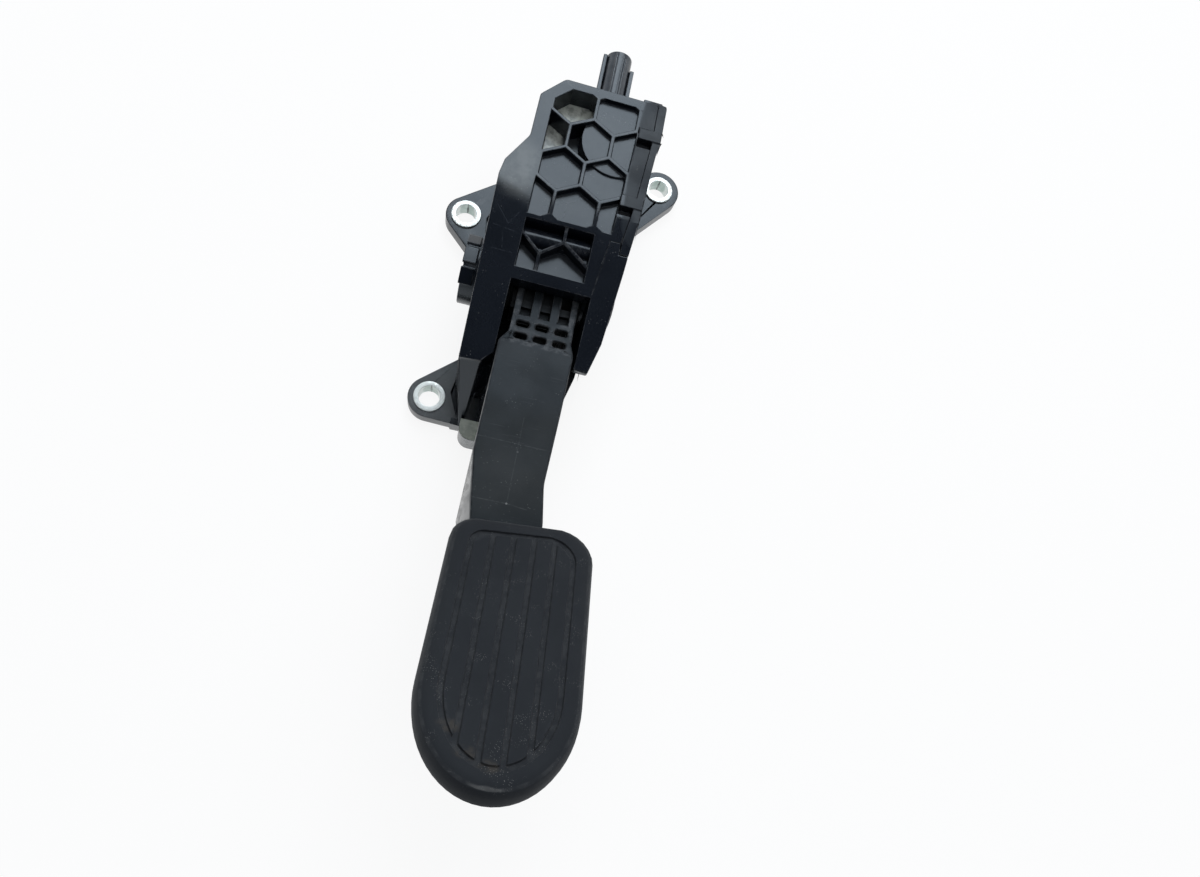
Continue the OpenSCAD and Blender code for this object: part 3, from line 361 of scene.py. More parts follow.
    def line(self) -> bpy.types.NodeTree:
        """Returns the group for a fine straight line on what faces up, between two places seen from above."""
        if "line" not in self.built:
            inputs = {"From": (0.0, 0.0, 0.0), "To": (1.0, 0.0, 0.0), "Width": 0.0002}
            w, given, result = self.group("fine_line", inputs, {"Mask": "NodeSocketFloat"})
            place = w.place()
            flat = (1.0, 1.0, 0.0)
            start = w.vector("MULTIPLY", given.outputs["From"], flat)
            along = w.vector("SUBTRACT", w.vector("MULTIPLY", given.outputs["To"], flat), start)
            here = w.vector("SUBTRACT", w.vector("MULTIPLY", place, flat), start)
            squared = w.vector("DOT_PRODUCT", along, along)
            share = w.maths("DIVIDE", w.vector("DOT_PRODUCT", here, along), squared)
            share = w.maths("MINIMUM", w.maths("MAXIMUM", share, 0.0), 1.0)
            scaled = w.add("ShaderNodeVectorMath", operation="SCALE")
            w.join(along, scaled.inputs[0])
            w.join(share, scaled.inputs["Scale"])
            distance = w.vector("LENGTH", w.vector("SUBTRACT", here, scaled.outputs[0]))
            near = w.ramp(distance, 0.0, given.outputs["Width"], 1.0, 0.0)
            broken = w.ramp(w.noise(place, 500.0, 3.0), 0.35, 0.6, 0.25, 1.0)
            facing = w.ramp(w.upward(), 0.7, 0.9)
            w.join(w.maths("MULTIPLY", w.maths("MULTIPLY", near, broken), facing), result.inputs["Mask"])
            self.built["line"] = w.tree
        return self.built["line"]

    def recess(self) -> bpy.types.NodeTree:
        """Returns the group for specks of dust that lie in the grooves below a flat face."""
        if "recess" not in self.built:
            inputs = {"Point": (0.0, 0.0, 0.0), "Normal": (0.0, 0.0, 1.0), "Depth": 0.0005}
            w, given, result = self.group("groove_dust", inputs, {"Mask": "NodeSocketFloat"})
            place = w.place()
            away = w.vector("SUBTRACT", place, given.outputs["Point"])
            height = w.vector("DOT_PRODUCT", away, given.outputs["Normal"])
            depth = given.outputs["Depth"]
            levels = [w.maths("MULTIPLY", depth, share) for share in (-0.8, -1.4, -2.2, -2.6)]
            below = w.maths("MULTIPLY", w.ramp(height, levels[1], levels[0], 1.0, 0.0),
                            w.ramp(height, levels[3], levels[2]))
            film = w.ramp(w.noise(place, 260.0, 5.0, 0.65), 0.38, 0.66, 0.1, 0.55)
            specks = w.maths("MULTIPLY", w.ramp(w.noise(place, 2300.0, 2.0), 0.56, 0.64),
                             w.ramp(w.noise(place, 120.0, 2.0), 0.42, 0.62))
            w.join(w.maths("MULTIPLY", below, w.maths("MAXIMUM", film, specks)), result.inputs["Mask"])
            self.built["recess"] = w.tree
        return self.built["recess"]

    def use(self, wiring: Wiring, tree: bpy.types.NodeTree, **inputs: object) -> bpy.types.Node:
        """Places a group in a material.

        Args:
            wiring: The material's wiring.
            tree: The group.
            inputs: Values for the group's inputs.

        Returns:
            The group's node.
        """
        node = wiring.add("ShaderNodeGroup", node_tree=tree)
        return wiring.feed(node, **inputs)


EFFECTS = Effects()


def grey(value: float, warm: float = 0.0) -> Colour:
    """Gives an opaque grey.

    Args:
        value: How light it is.
        warm: Share by which it leans to red, or to blue where negative.

    Returns:
        The colour.
    """
    return (value * (1 + warm), value, value * (1 - warm), 1.0)


@dataclass(frozen=True)
class Mark:
    """Something on a piece's surface, with its own colour, that shows through a mask."""

    def mask(self, w: Wiring) -> bpy.types.NodeSocket:
        """Returns the socket of the mask; each kind of mark has its own."""
        raise NotImplementedError

    def over(self, w: Wiring, colour: object) -> bpy.types.NodeSocket:
        """Lays the mark over a colour.

        Args:
            w: Wiring of the material.
            colour: Colour below.

        Returns:
            The new colour's socket.
        """
        return w.blend(self.mask(w), colour, self.colour)


@dataclass(frozen=True)
class Patch(Mark):
    """Stain, haze, painted light, painted shade or change of colour in one place of a piece.

    Args:
        centre: Middle of the patch in the frame, in millimetres.
        radii: Reach along X, Y and Z, in millimetres.
        colour: Its colour.
        share: How much of its colour shows.
        facing: Direction that the stained faces look in, or nothing for all faces.
        calm: Share left between the mottles; 1 is even.
        mottle: Mottles' scale per metre.
        soft: Share of the radii over which it fades.
    """

    centre: Triple
    radii: Triple
    colour: Colour
    share: float
    facing: Triple = (0.0, 0.0, 0.0)
    calm: float = 0.4
    mottle: float = 200.0
    soft: float = 0.3

    def mask(self, w: Wiring) -> bpy.types.NodeSocket:
        """Returns the socket of the patch's mask, already scaled by its share."""
        least = -1.0 if self.facing == (0.0, 0.0, 0.0) else 0.5
        node = EFFECTS.use(w, EFFECTS.patch(), Centre=tuple(v * MM for v in self.centre),
                           Radii=tuple(v * MM for v in self.radii), Facing=self.facing, Least=least,
                           Mottle=self.mottle, Calm=self.calm, Soft=self.soft)
        return w.maths("MULTIPLY", node.outputs["Mask"], self.share)


@dataclass(frozen=True)
class Line(Mark):
    """Fine line of painted light on a piece's front, such as along a sink mark over a rib.

    Args:
        start: X and Y of its start, in millimetres.
        end: X and Y of its end, in millimetres.
        colour: Its colour.
        share: How much of its colour shows.
        width: Half of its width, in millimetres.
    """

    start: tuple[float, float]
    end: tuple[float, float]
    colour: Colour
    share: float = 0.4
    width: float = 0.3

    def mask(self, w: Wiring) -> bpy.types.NodeSocket:
        """Returns the socket of the line's mask, already scaled by its share."""
        node = EFFECTS.use(w, EFFECTS.line(), From=(self.start[0] * MM, self.start[1] * MM, 0.0),
                           To=(self.end[0] * MM, self.end[1] * MM, 0.0), Width=self.width * MM)
        return w.maths("MULTIPLY", node.outputs["Mask"], self.share)


@dataclass(frozen=True)
class GrooveDust(Mark):
    """Dust in the grooves below a flat face.

    Args:
        point: A place on the face, in millimetres.
        normal: The face's normal.
        colour: The dust's colour.
        share: How much of its colour shows.
        depth: About half of the grooves' depth, in millimetres.
    """

    point: Triple
    normal: Triple
    colour: Colour
    share: float
    depth: float = 0.5

    def mask(self, w: Wiring) -> bpy.types.NodeSocket:
        """Returns the socket of the dust's mask, already scaled by its share."""
        node = EFFECTS.use(w, EFFECTS.recess(), Point=tuple(v * MM for v in self.point),
                           Normal=self.normal, Depth=self.depth * MM)
        return w.maths("MULTIPLY", node.outputs["Mask"], self.share)


@dataclass(frozen=True)
class MouldedFinish:
    """Moulded plastic or rubber: grain, slow variation, edge wear, dust and scratches.

    Args:
        name: Name of the material.
        colour: Base colour.
        roughness: Roughness between the variation's two ends.
        spread: Half of the roughness's variation.
        grain: Grain's scale per metre.
        depth: Strength of the grain's bump.
        worn: Colour of worn edges.
        wear: Share of the worn colour on the edges.
        dust: Amount of dust.
        dust_colour: Colour of the dust.
        scratch: Density of the scratches.
        specular: Specular level.
        tint: Colour of the reflections.
        sheen: Sheen weight, for rubber.
        lighter: How much lighter the lightest clouds are than the base colour.
        marks: Marks of this piece, painted light and shade among them, from the lowest to the topmost.
        rougher: Patches whose share is added to the roughness.
        polished: Patch with a glossy skin.
        speck: Dust specks' scale per metre.
    """

    name: str
    colour: Colour
    roughness: float
    spread: float = 0.05
    grain: float = 2600.0
    depth: float = 0.12
    worn: Colour = (0.09, 0.09, 0.092, 1.0)
    wear: float = 0.4
    dust: float = 0.15
    dust_colour: Colour = (0.42, 0.41, 0.39, 1.0)
    scratch: float = 0.0
    specular: float = 0.5
    tint: Colour = (0.88, 1.0, 1.1, 1.0)
    sheen: float = 0.0
    lighter: float = 1.15
    marks: tuple[Mark, ...] = ()
    rougher: tuple[Patch, ...] = ()
    polished: Patch | None = None
    speck: float = 900.0

    def build(self) -> bpy.types.Material:
        """Makes the material.

        Returns:
            The finished material.
        """
        material = bpy.data.materials.new(self.name)
        material.use_nodes = True
        w = Wiring(material.node_tree)
        shader = material.node_tree.nodes["Principled BSDF"]
        grain = EFFECTS.use(w, EFFECTS.grain(), Grain=self.grain)
        wear = EFFECTS.use(w, EFFECTS.wear())
        dust = EFFECTS.use(w, EFFECTS.dust(), Amount=self.dust, Speck=self.speck)
        lighter = tuple(channel * self.lighter for channel in self.colour[:3]) + (1.0,)
        colour = w.blend(grain.outputs["Cloud"], self.colour, lighter)
        for mark in self.marks:
            colour = mark.over(w, colour)
        colour = w.blend(w.maths("MULTIPLY", wear.outputs["Mask"], self.wear), colour, self.worn)
        if self.scratch:
            scratches = EFFECTS.use(w, EFFECTS.scratches(), Density=self.scratch)
            colour = w.blend(scratches.outputs["Mask"], colour, self.worn)
        colour = w.blend(w.maths("MULTIPLY", dust.outputs["Film"], 0.35), colour, self.dust_colour)
        colour = w.blend(dust.outputs["Specks"], colour, self.dust_colour)
        w.feed(shader, Base_Color=colour)
        rough = w.ramp(grain.outputs["Cloud"], 0.0, 1.0, self.roughness - self.spread,
                       self.roughness + self.spread)
        for patch in self.rougher:
            rough = w.maths("ADD", rough, patch.mask(w))
        w.feed(shader, Roughness=rough)
        if self.polished:
            w.feed(shader, Coat_Weight=self.polished.mask(w), Coat_Roughness=0.1, Coat_IOR=1.8)
        bump = w.add("ShaderNodeBump")
        w.feed(bump, Strength=self.depth, Distance=0.0002, Height=grain.outputs["Height"])
        w.feed(shader, Normal=bump.outputs[0])
        shader.inputs["Specular IOR Level"].default_value = self.specular
        shader.inputs["Specular Tint"].default_value = self.tint
        shader.inputs["Sheen Weight"].default_value = self.sheen
        shader.inputs["Sheen Roughness"].default_value = 0.4
        return material


@dataclass(frozen=True)
class MetalFinish:
    """Plated or bare metal with a fine turned grain and a little soiling.

    Args:
        name: Name of the material.
        colour: Base colour.
        roughness: Mean roughness.
        soiled: Colour of the dull patches.
        soil: Share of the dull patches.
        metallic: How metallic the surface is; a matte plating scatters more.
        marks: Marks of this piece, painted shade among them, from the lowest to the topmost.
    """

    name: str
    colour: Colour
    roughness: float
    soiled: Colour = (0.25, 0.24, 0.22, 1.0)
    soil: float = 0.25
    metallic: float = 1.0
    marks: tuple[Mark, ...] = ()

    def build(self) -> bpy.types.Material:
        """Makes the material.

        Returns:
            The finished material.
        """
        material = bpy.data.materials.new(self.name)
        material.use_nodes = True
        w = Wiring(material.node_tree)
        shader = material.node_tree.nodes["Principled BSDF"]
        grain = EFFECTS.use(w, EFFECTS.grain(), Grain=3400.0, Cloud=240.0)
        mask = w.maths("MULTIPLY", grain.outputs["Cloud"], self.soil)
        colour = w.blend(mask, self.colour, self.soiled)
        for mark in self.marks:
            colour = mark.over(w, colour)
        w.feed(shader, Base_Color=colour)
        w.feed(shader, Roughness=w.ramp(mask, 0.0, self.soil, self.roughness - 0.04, self.roughness + 0.06))
        bump = w.add("ShaderNodeBump")
        w.feed(bump, Strength=0.1, Distance=0.0001, Height=grain.outputs["Height"])
        w.feed(shader, Normal=bump.outputs[0])
        shader.inputs["Metallic"].default_value = self.metallic
        return material


# Directions that marked faces look in
UP = (0.0, 0.0, 1.0)
LEFT = (-1.0, 0.0, 0.0)
FRONT = (0.0, -1.0, 0.0)

# Colours of the marks
# Painted light on the deep cells' floors
PAINTED_LIT_FLOOR = (0.36, 0.37, 0.33, 1.0)
PAINTED_LIGHTER_LIT_FLOOR = (0.45, 0.46, 0.42, 1.0)
HAZE = (0.34, 0.34, 0.31, 1.0)
OLIVE = (0.36, 0.375, 0.31, 1.0)
CHALK = (0.5, 0.5, 0.5, 1.0)
# Painted light on the foot's front wall
PAINTED_LIT_WALL = (0.5, 0.51, 0.52, 1.0)
# Painted reflection on the lower ear's top
PAINTED_EAR_REFLECTION = (0.082, 0.085, 0.087, 1.0)
DULL_SOCKET = (0.040, 0.044, 0.052, 1.0)
# Painted light along sink marks
PAINTED_SINK_LIGHT = (0.030, 0.034, 0.042, 1.0)
# Painted reflection on the arm's upper front
PAINTED_ARM_REFLECTION = (0.010, 0.013, 0.017, 1.0)
# Painted highlight along the arm's creases
PAINTED_CREASE_HIGHLIGHT = (0.10, 0.10, 0.10, 1.0)
SPECK = (0.30, 0.30, 0.30, 1.0)
SEAM = (0.02, 0.025, 0.025, 1.0)
# Painted shade, greenish, inside the sleeves' bores
PAINTED_BORE_SHADE = (0.34, 0.46, 0.42, 1.0)
GROOVE = (0.105, 0.105, 0.105, 1.0)
BROWN_DIRT = (0.060, 0.048, 0.035, 1.0)

# X and Y of each sleeve's bore at its wall that faces the front, and of the seam in it
BORE_PLACES = ((-40.0, -45.5), (-44.0, 41.5), (39.5, 79.5))
SEAM_PLACES = ((-40.0, -45.3), (-44.0, 41.7), (39.5, 79.7))
DIRT_PLACES = ((-6.5, -173.0, 112.5), (-0.5, -179.0, 116.5), (6.0, -181.5, 118.0))

HOUSING_MARKS = (
    # Painted light on the floors of the two deep honeycomb cells
    Patch((-8.8, 70.2, 50.0), (11.5, 10.0, 0.8), PAINTED_LIT_FLOOR, 0.9, UP, calm=0.5, mottle=260.0),
    Patch((-15.2, 56.0, 50.0), (6.0, 9.5, 0.8), PAINTED_LIGHTER_LIT_FLOOR, 0.9, UP, calm=0.5, mottle=260.0),
    # Haze on the shoulder left of the honeycomb
    Patch((-25.0, 35.0, 60.0), (13.0, 17.0, 3.0), HAZE, 0.18, UP, calm=0.5, mottle=120.0, soft=0.7),
    # Top of the foot, and painted light on its front wall where the floor lights it
    Patch((-22.0, -62.0, 14.7), (10.0, 9.0, 1.2), OLIVE, 0.85, UP, calm=0.75, mottle=300.0),
    Patch((-21.0, -66.5, 8.0), (11.0, 6.0, 9.0), PAINTED_LIT_WALL, 0.35, FRONT, calm=0.4, mottle=500.0),
    # Painted reflection on the top of the lower ear, and the top of the connector socket
    Patch((-40.0, -50.0, 7.0), (22.0, 22.0, 1.2), PAINTED_EAR_REFLECTION, 0.9, UP, calm=0.8, mottle=90.0, soft=0.2),
    Patch((6.4, 105.0, 36.0), (14.0, 22.0, 16.0), DULL_SOCKET, 0.8, UP, calm=0.8, mottle=150.0, soft=0.2),
    # Painted light along the sink marks over the ribs behind the left flange
    Line((-30.1, 17.8), (-23.9, 10.8), PAINTED_SINK_LIGHT),
    Line((-23.9, 10.8), (-20.1, 17.0), PAINTED_SINK_LIGHT),
    Line((-29.5, 9.3), (-20.2, 8.3), PAINTED_SINK_LIGHT),
    Line((-25.3, 7.8), (-24.2, 1.2), PAINTED_SINK_LIGHT),
    Line((-28.2, 0.1), (-20.0, 0.1), PAINTED_SINK_LIGHT),
)
# The cover's bar and the rim beside it
DULL_BAR = Patch((27.0, 50.0, 60.0), (9.5, 60.0, 3.0), PAINTED_SINK_LIGHT, 0.34, UP, calm=0.7, mottle=90.0, soft=0.15)
ARM_MARKS = (
    # Upper half of the arm's front, lighter and bluish as a painted reflection, and its left flank
    Patch((-2.0, -36.0, 50.0), (40.0, 30.0, 30.0), PAINTED_ARM_REFLECTION, 0.6, UP, calm=0.8, mottle=60.0, soft=0.35),
    Patch((-18.0, -95.0, 50.0), (12.0, 32.0, 22.0), CHALK, 0.09, LEFT, calm=0.8, mottle=330.0, soft=0.4),
    # Painted highlights along the sink marks across the front and down its middle, with an ejector's dot on each
    # crossing
    Line((-17.0, -74.8), (9.7, -74.9), PAINTED_CREASE_HIGHLIGHT, 0.22),
    Line((-1.2, -98.0), (-1.5, -64.0), PAINTED_CREASE_HIGHLIGHT, 0.16, 0.25),
    Line((-13.7, -98.2), (-1.2, -98.0), PAINTED_CREASE_HIGHLIGHT, 0.25),
    Line((-1.2, -98.0), (6.2, -98.7), PAINTED_CREASE_HIGHLIGHT, 0.25),
    Patch((-1.2, -77.9, 56.1), (0.45, 0.45, 1.0), SPECK, 0.3),
    Patch((-1.3, -98.0, 58.3), (0.45, 0.45, 1.0), SPECK, 0.35),
)
GLOSSY_FLANK = Patch((-18.0, -95.0, 50.0), (12.0, 60.0, 40.0), SPECK, 1.0, LEFT, calm=0.6, mottle=330.0, soft=0.2)
PAD_MARKS = (
    GrooveDust((0.0, -106.0, 70.0), (0.0, 0.5446, 0.8387), GROOVE, 0.28),
    *(Patch(place, (4.5, 2.5, 3.5), BROWN_DIRT, 0.4, UP, calm=0.05, mottle=330.0, soft=0.6)
      for place in DIRT_PLACES),
)
SLEEVE_MARKS = (
    # Greenish painted shade inside each bore, then the dark seam in it
    *(Patch((x, y, 4.0), (4.6, 3.6, 6.0), PAINTED_BORE_SHADE, 0.75, FRONT, calm=0.7, mottle=400.0) for x, y in BORE_PLACES),
    *(Patch((x, y, 4.0), (0.5, 0.8, 5.0), SEAM, 0.95) for x, y in SEAM_PLACES),
)
FINISHES = {
    Slot.HOUSING: MouldedFinish(
        "housing_nylon", (0.0034, 0.0046, 0.0078, 1.0), 0.26, spread=0.015, depth=0.06, wear=0.5, dust=0.15,
        dust_colour=(0.42, 0.41, 0.37, 1.0), marks=HOUSING_MARKS, rougher=(DULL_BAR,)),
    Slot.ARM: MouldedFinish(
        "arm_nylon", (0.0055, 0.0065, 0.0072, 1.0), 0.5, grain=3000.0, depth=0.14, wear=0.35, dust=0.12,
        scratch=0.08, worn=(0.13, 0.13, 0.135, 1.0), specular=0.25, marks=ARM_MARKS, polished=GLOSSY_FLANK),
    Slot.PAD: MouldedFinish(
        "pad_rubber", (0.0098, 0.0105, 0.0125, 1.0), 0.74, grain=3400.0, depth=0.25, wear=0.3, dust=0.40,
        worn=(0.05, 0.052, 0.056, 1.0), specular=0.3, sheen=0.04, speck=2000.0, marks=PAD_MARKS),
    Slot.SLEEVE: MetalFinish(
        "sleeve_zinc", (0.88, 0.93, 0.91, 1.0), 0.34, soil=0.12, metallic=0.55, marks=SLEEVE_MARKS),
    Slot.SHAFT: MetalFinish("shaft_steel", grey(0.55), 0.22),
    Slot.SPRING: MetalFinish("spring_steel", grey(0.28), 0.30),
    Slot.RESIN: MouldedFinish("bearing_resin", (0.012, 0.012, 0.011, 1.0), 0.5, specular=0.3),
    Slot.YOKE: MetalFinish("yoke_steel", grey(0.45), 0.35),
    Slot.MAGNET: MetalFinish("magnet", grey(0.12), 0.45),
    Slot.SENSOR: MouldedFinish("sensor", grey(0.010), 0.25, dust=0.0),
    Slot.TERMINAL: MetalFinish("terminal_tin", (0.68, 0.66, 0.60, 1.0), 0.25),
}


@dataclass
class Palette:
    """Materials made from the finishes, each one once."""

    made: dict[Slot, bpy.types.Material] = field(default_factory=dict)

    def get(self, slot: Slot) -> bpy.types.Material:
        """Returns the material of a slot, and builds it at its first use."""
        if slot not in self.made:
            self.made[slot] = FINISHES[slot].build()
        return self.made[slot]


PALETTE = Palette()


def select_only(piece: bpy.types.Object) -> None:
    """Selects one object and makes it active.

    Args:
        piece: The object.
    """
    bpy.ops.object.select_all(action="DESELECT")
    piece.select_set(True)
    bpy.context.view_layer.objects.active = piece


def dress(piece: bpy.types.Object, slot: Slot) -> None:
    """Gives a piece its slot's material.

    Args:
        piece: The piece.
        slot: The record's slot.
    """
    piece.data.materials.clear()
    piece.data.materials.append(PALETTE.get(slot))


def mark_edges(piece: bpy.types.Object, strip: float, full: float = math.radians(40)) -> None:
    """Writes how sharply the surface bends outwards at each point, for the wear on edges.

    Only the crest of a softened edge counts, where every face around the point is narrow.

    Args:
        piece: The finished piece.
        strip: Greatest width of a softened edge's faces.
        full: Bend between two faces that counts as a full edge.
    """
    shape = bmesh.new()
    shape.from_mesh(piece.data)
    values = [0.0] * len(shape.verts)
    narrow = [face.calc_area() < strip * max(edge.calc_length() for edge in face.edges)
              for face in shape.faces]
    for edge in shape.edges:
        if len(edge.link_faces) == 2 and edge.is_convex:
            bend = min(1.0, edge.calc_face_angle(0.0) / full)
            for vertex in edge.verts:
                if all(narrow[face.index] for face in vertex.link_faces):
                    values[vertex.index] = max(values[vertex.index], bend)
    shape.free()
    attribute = piece.data.attributes.new(EDGE_ATTRIBUTE, "FLOAT", "POINT")
    attribute.data.foreach_set("value", values)


@dataclass
class SoftenedNode:
    """Copy of a CAD node with merged faces and softened edges, which stands for the node.

    Args:
        node: Name of the CAD node.
        body: Body that it rides on.
        slot: Slot that it takes its finish from.
        width: Width of the softened edges.
        segments: Faces across a softened edge.
        sharp: Angle from which an edge is softened.
    """

    node: str
    body: Body
    slot: Slot
    width: float = 0.3 * MM
    segments: int = 2
    sharp: float = math.radians(28)

    def reshape(self, piece: bpy.types.Object) -> None:
        """Changes the merged copy in edit mode before its edges are softened; a plain copy stays as it is."""

    def build(self) -> bpy.types.Object:
        """Returns:
            The finished piece.
        """
        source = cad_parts[self.node]
        piece = bpy.data.objects.new(f"{self.node}_softened", source.data.copy())
        bpy.context.scene.collection.objects.link(piece)
        select_only(piece)
        bpy.ops.object.mode_set(mode="EDIT")
        bpy.ops.mesh.select_all(action="SELECT")
        bpy.ops.mesh.remove_doubles(threshold=MERGE_DISTANCE)
        self.reshape(piece)
        bpy.ops.mesh.select_all(action="SELECT")
        bpy.ops.mesh.dissolve_limited(angle_limit=FLAT_ANGLE)
        bpy.ops.mesh.quads_convert_to_tris(quad_method="BEAUTY", ngon_method="BEAUTY")
        bpy.ops.object.mode_set(mode="OBJECT")
        bevel = piece.modifiers.new("soft_edges", "BEVEL")
        bevel.width = self.width
        bevel.segments = self.segments
        bevel.limit_method = "ANGLE"
        bevel.angle_limit = self.sharp
        bevel.use_clamp_overlap = False
        bpy.ops.object.modifier_apply(modifier=bevel.name)
        bpy.ops.object.shade_smooth_by_angle(angle=SMOOTH_ANGLE)
        normals = piece.modifiers.new("weighted", "WEIGHTED_NORMAL")
        normals.keep_sharp = True
        bpy.ops.object.modifier_apply(modifier=normals.name)
        mark_edges(piece, STRIP_SHARE * self.width)
        dress(piece, self.slot)
        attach(piece, self.body.value)
        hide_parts(self.node)
        LOG.info("%s: %d faces", piece.name, len(piece.data.polygons))
        return piece


@dataclass
class HoneycombCopy(SoftenedNode):
    """Housing's copy, with its honeycomb floors as far down as their dark bands show.

    Args:
        floors: Level of each floor in the frame, its level here, and the Y from which it is meant.
        corner_cell: X, Y and reach of the upper right cell, whose whole floor lies level with the spring seat.
    """

    floors: tuple[tuple[float, float, float], ...] = ((55.0, 56.9, 16.9), (56.6, 57.9, 30.0))
    corner_cell: Triple = (9.2, 70.2, 9.6)

    def reshape(self, piece: bpy.types.Object) -> None:
        """Raises each floor by a translation of its faces.

        Args:
            piece: The copy, in edit mode.
        """
        middle = Vector(self.corner_cell[:2]) * MM
        reach = self.corner_cell[2] * MM
        for level, target, above in self.floors:
            for corner in (False, True):
                bpy.ops.mesh.select_all(action="DESELECT")
                shape = bmesh.from_edit_mesh(piece.data)
                for face in shape.faces:
                    centre = face.calc_center_median()
                    on_floor = face.normal.z > 0.99 and abs(centre.z - level * MM) < LEVEL_SLACK
                    in_corner = (centre.xy - middle).length < reach
                    if on_floor and centre.y > above * MM and corner == in_corner:
                        face.select_set(True)
                bmesh.update_edit_mesh(piece.data)
                height = self.floors[-1][1] if corner else target
                bpy.ops.transform.translate(value=(0.0, 0.0, (height - level) * MM))
        bpy.ops.mesh.select_all(action="SELECT")
        bpy.ops.mesh.remove_doubles(threshold=MERGE_DISTANCE)


@dataclass
class CoverCopy(SoftenedNode):
    """Sensor cover's copy, whose bar is well rounded along its outer front edge.

    Args:
        bar_top: Level of the bar's face.
        bar_side: X beyond which the bar's outer edge lies.
        round_off: Width of the rounding.
        corner: Bend from which an edge is rounded.
        steps: Faces across the rounding.
    """

    bar_top: float = 60.0 * MM
    bar_side: float = 26.0 * MM
    round_off: float = 1.1 * MM
    corner: float = math.radians(60)
    steps: int = 4

    def reshape(self, piece: bpy.types.Object) -> None:
        """Rounds the bar's outer edge.

        Args:
            piece: The copy, in edit mode.
        """
        bpy.ops.mesh.select_all(action="DESELECT")
        shape = bmesh.from_edit_mesh(piece.data)
        for edge in shape.edges:
            on_bar = all(abs(vertex.co.z - self.bar_top) < LEVEL_SLACK and vertex.co.x > self.bar_side
                         for vertex in edge.verts)
            if on_bar and edge.calc_face_angle(0.0) > self.corner and edge.is_convex:
                edge.select_set(True)
        bmesh.update_edit_mesh(piece.data)
        bpy.ops.mesh.bevel(offset=self.round_off, segments=self.steps, affect="EDGES", clamp_overlap=True)


@dataclass
class HousingShell:
    """Housing, sensor cover and the three sleeves in the ears."""

    edge: float = 0.35 * MM
    sleeve_edge: float = 0.25 * MM

    def build(self) -> None:
        """Builds the pieces that stay with the car."""
        HoneycombCopy("housing", Body.HOUSING, Slot.HOUSING, self.edge).build()
        CoverCopy("sensor_cover", Body.HOUSING, Slot.HOUSING, self.edge).build()
        for place in ("lower", "upper", "right"):
            SoftenedNode(f"mount_sleeve_{place}", Body.HOUSING, Slot.SLEEVE, self.sleeve_edge).build()


@dataclass
class PedalLever:
    """Arm and pad that the foot presses."""

    arm_edge: float = 0.8 * MM
    pad_edge: float = 0.3 * MM

    def build(self) -> None:
        """Builds the arm and the pad."""
        SoftenedNode("pedal_arm", Body.PEDAL, Slot.ARM, self.arm_edge, segments=3).build()
        SoftenedNode("pedal_pad", Body.PEDAL, Slot.PAD, self.pad_edge).build()


@dataclass
class Mechanism:
    """Rotors, springs, sensor and terminals inside the housing, which keep their CAD shapes."""

    finishes: dict[str, Slot] = field(default_factory=lambda: {
        "pivot_shaft": Slot.SHAFT, "pedal_rotor": Slot.ARM, "hysteresis_rotor": Slot.RESIN,
        "friction_plate_left": Slot.RESIN, "friction_plate_right": Slot.RESIN, "spring_holder": Slot.RESIN,
        "outer_return_spring": Slot.SPRING, "inner_return_spring": Slot.SPRING, "magnet_holder": Slot.RESIN,
        "sensor_yoke": Slot.YOKE, "magnet_front": Slot.MAGNET, "magnet_rear": Slot.MAGNET,
        "hall_sensor": Slot.SENSOR,
    })
    terminals: int = 6

    def build(self) -> None:
        """Dresses the nodes."""
        names = dict(self.finishes)
        for number in range(1, self.terminals + 1):
            names[f"terminal_{number}"] = Slot.TERMINAL
        for name, slot in names.items():
            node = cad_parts[name]
            dress(node, slot)
            node.data.shade_smooth()
            LOG.info("%s: dressed as %s", name, slot.value)


@dataclass
class PhotoCamera:
    """Camera at the photograph's place, solved from the ears' sleeves and the straight edges.

    Args:
        place: Camera's place in the frame.
        right: Direction to the picture's right.
        up: Direction to the picture's top.
        lens: Focal length for a sensor 36 mm wide.
    """

    place: Triple = (-0.01672, -0.16289, 0.375)
    right: Triple = (0.96504, 0.18092, 0.18963)
    up: Triple = (-0.22634, 0.94008, 0.25495)
    lens: float = 27.0

    def build(self) -> None:
        """Makes the camera and hands it to the scene."""
        data = bpy.data.cameras.new("photo_camera")
        data.lens = self.lens
        data.sensor_width = 36.0
        data.sensor_fit = "HORIZONTAL"
        data.clip_start = 0.01
        camera = bpy.data.objects.new("photo_camera", data)
        bpy.context.scene.collection.objects.link(camera)
        across = Vector(self.right).normalized()
        upward = Vector(self.up).normalized()
        turn = Matrix((across, upward, across.cross(upward))).transposed()
        camera.matrix_world = Matrix.Translation(self.place) @ turn.to_4x4()
        bpy.context.scene.camera = camera


@dataclass(frozen=True)
class SoftLamp:
    """Soft rectangular lamp that faces the part.

    Args:
        name: Name of the lamp.
        place: Where it hangs.
        size: Width and height.
        power: Power in watts.
        mirrored: Whether shiny surfaces show the lamp.
    """

    name: str
    place: Triple
    size: tuple[float, float]
    power: float
    mirrored: bool = True


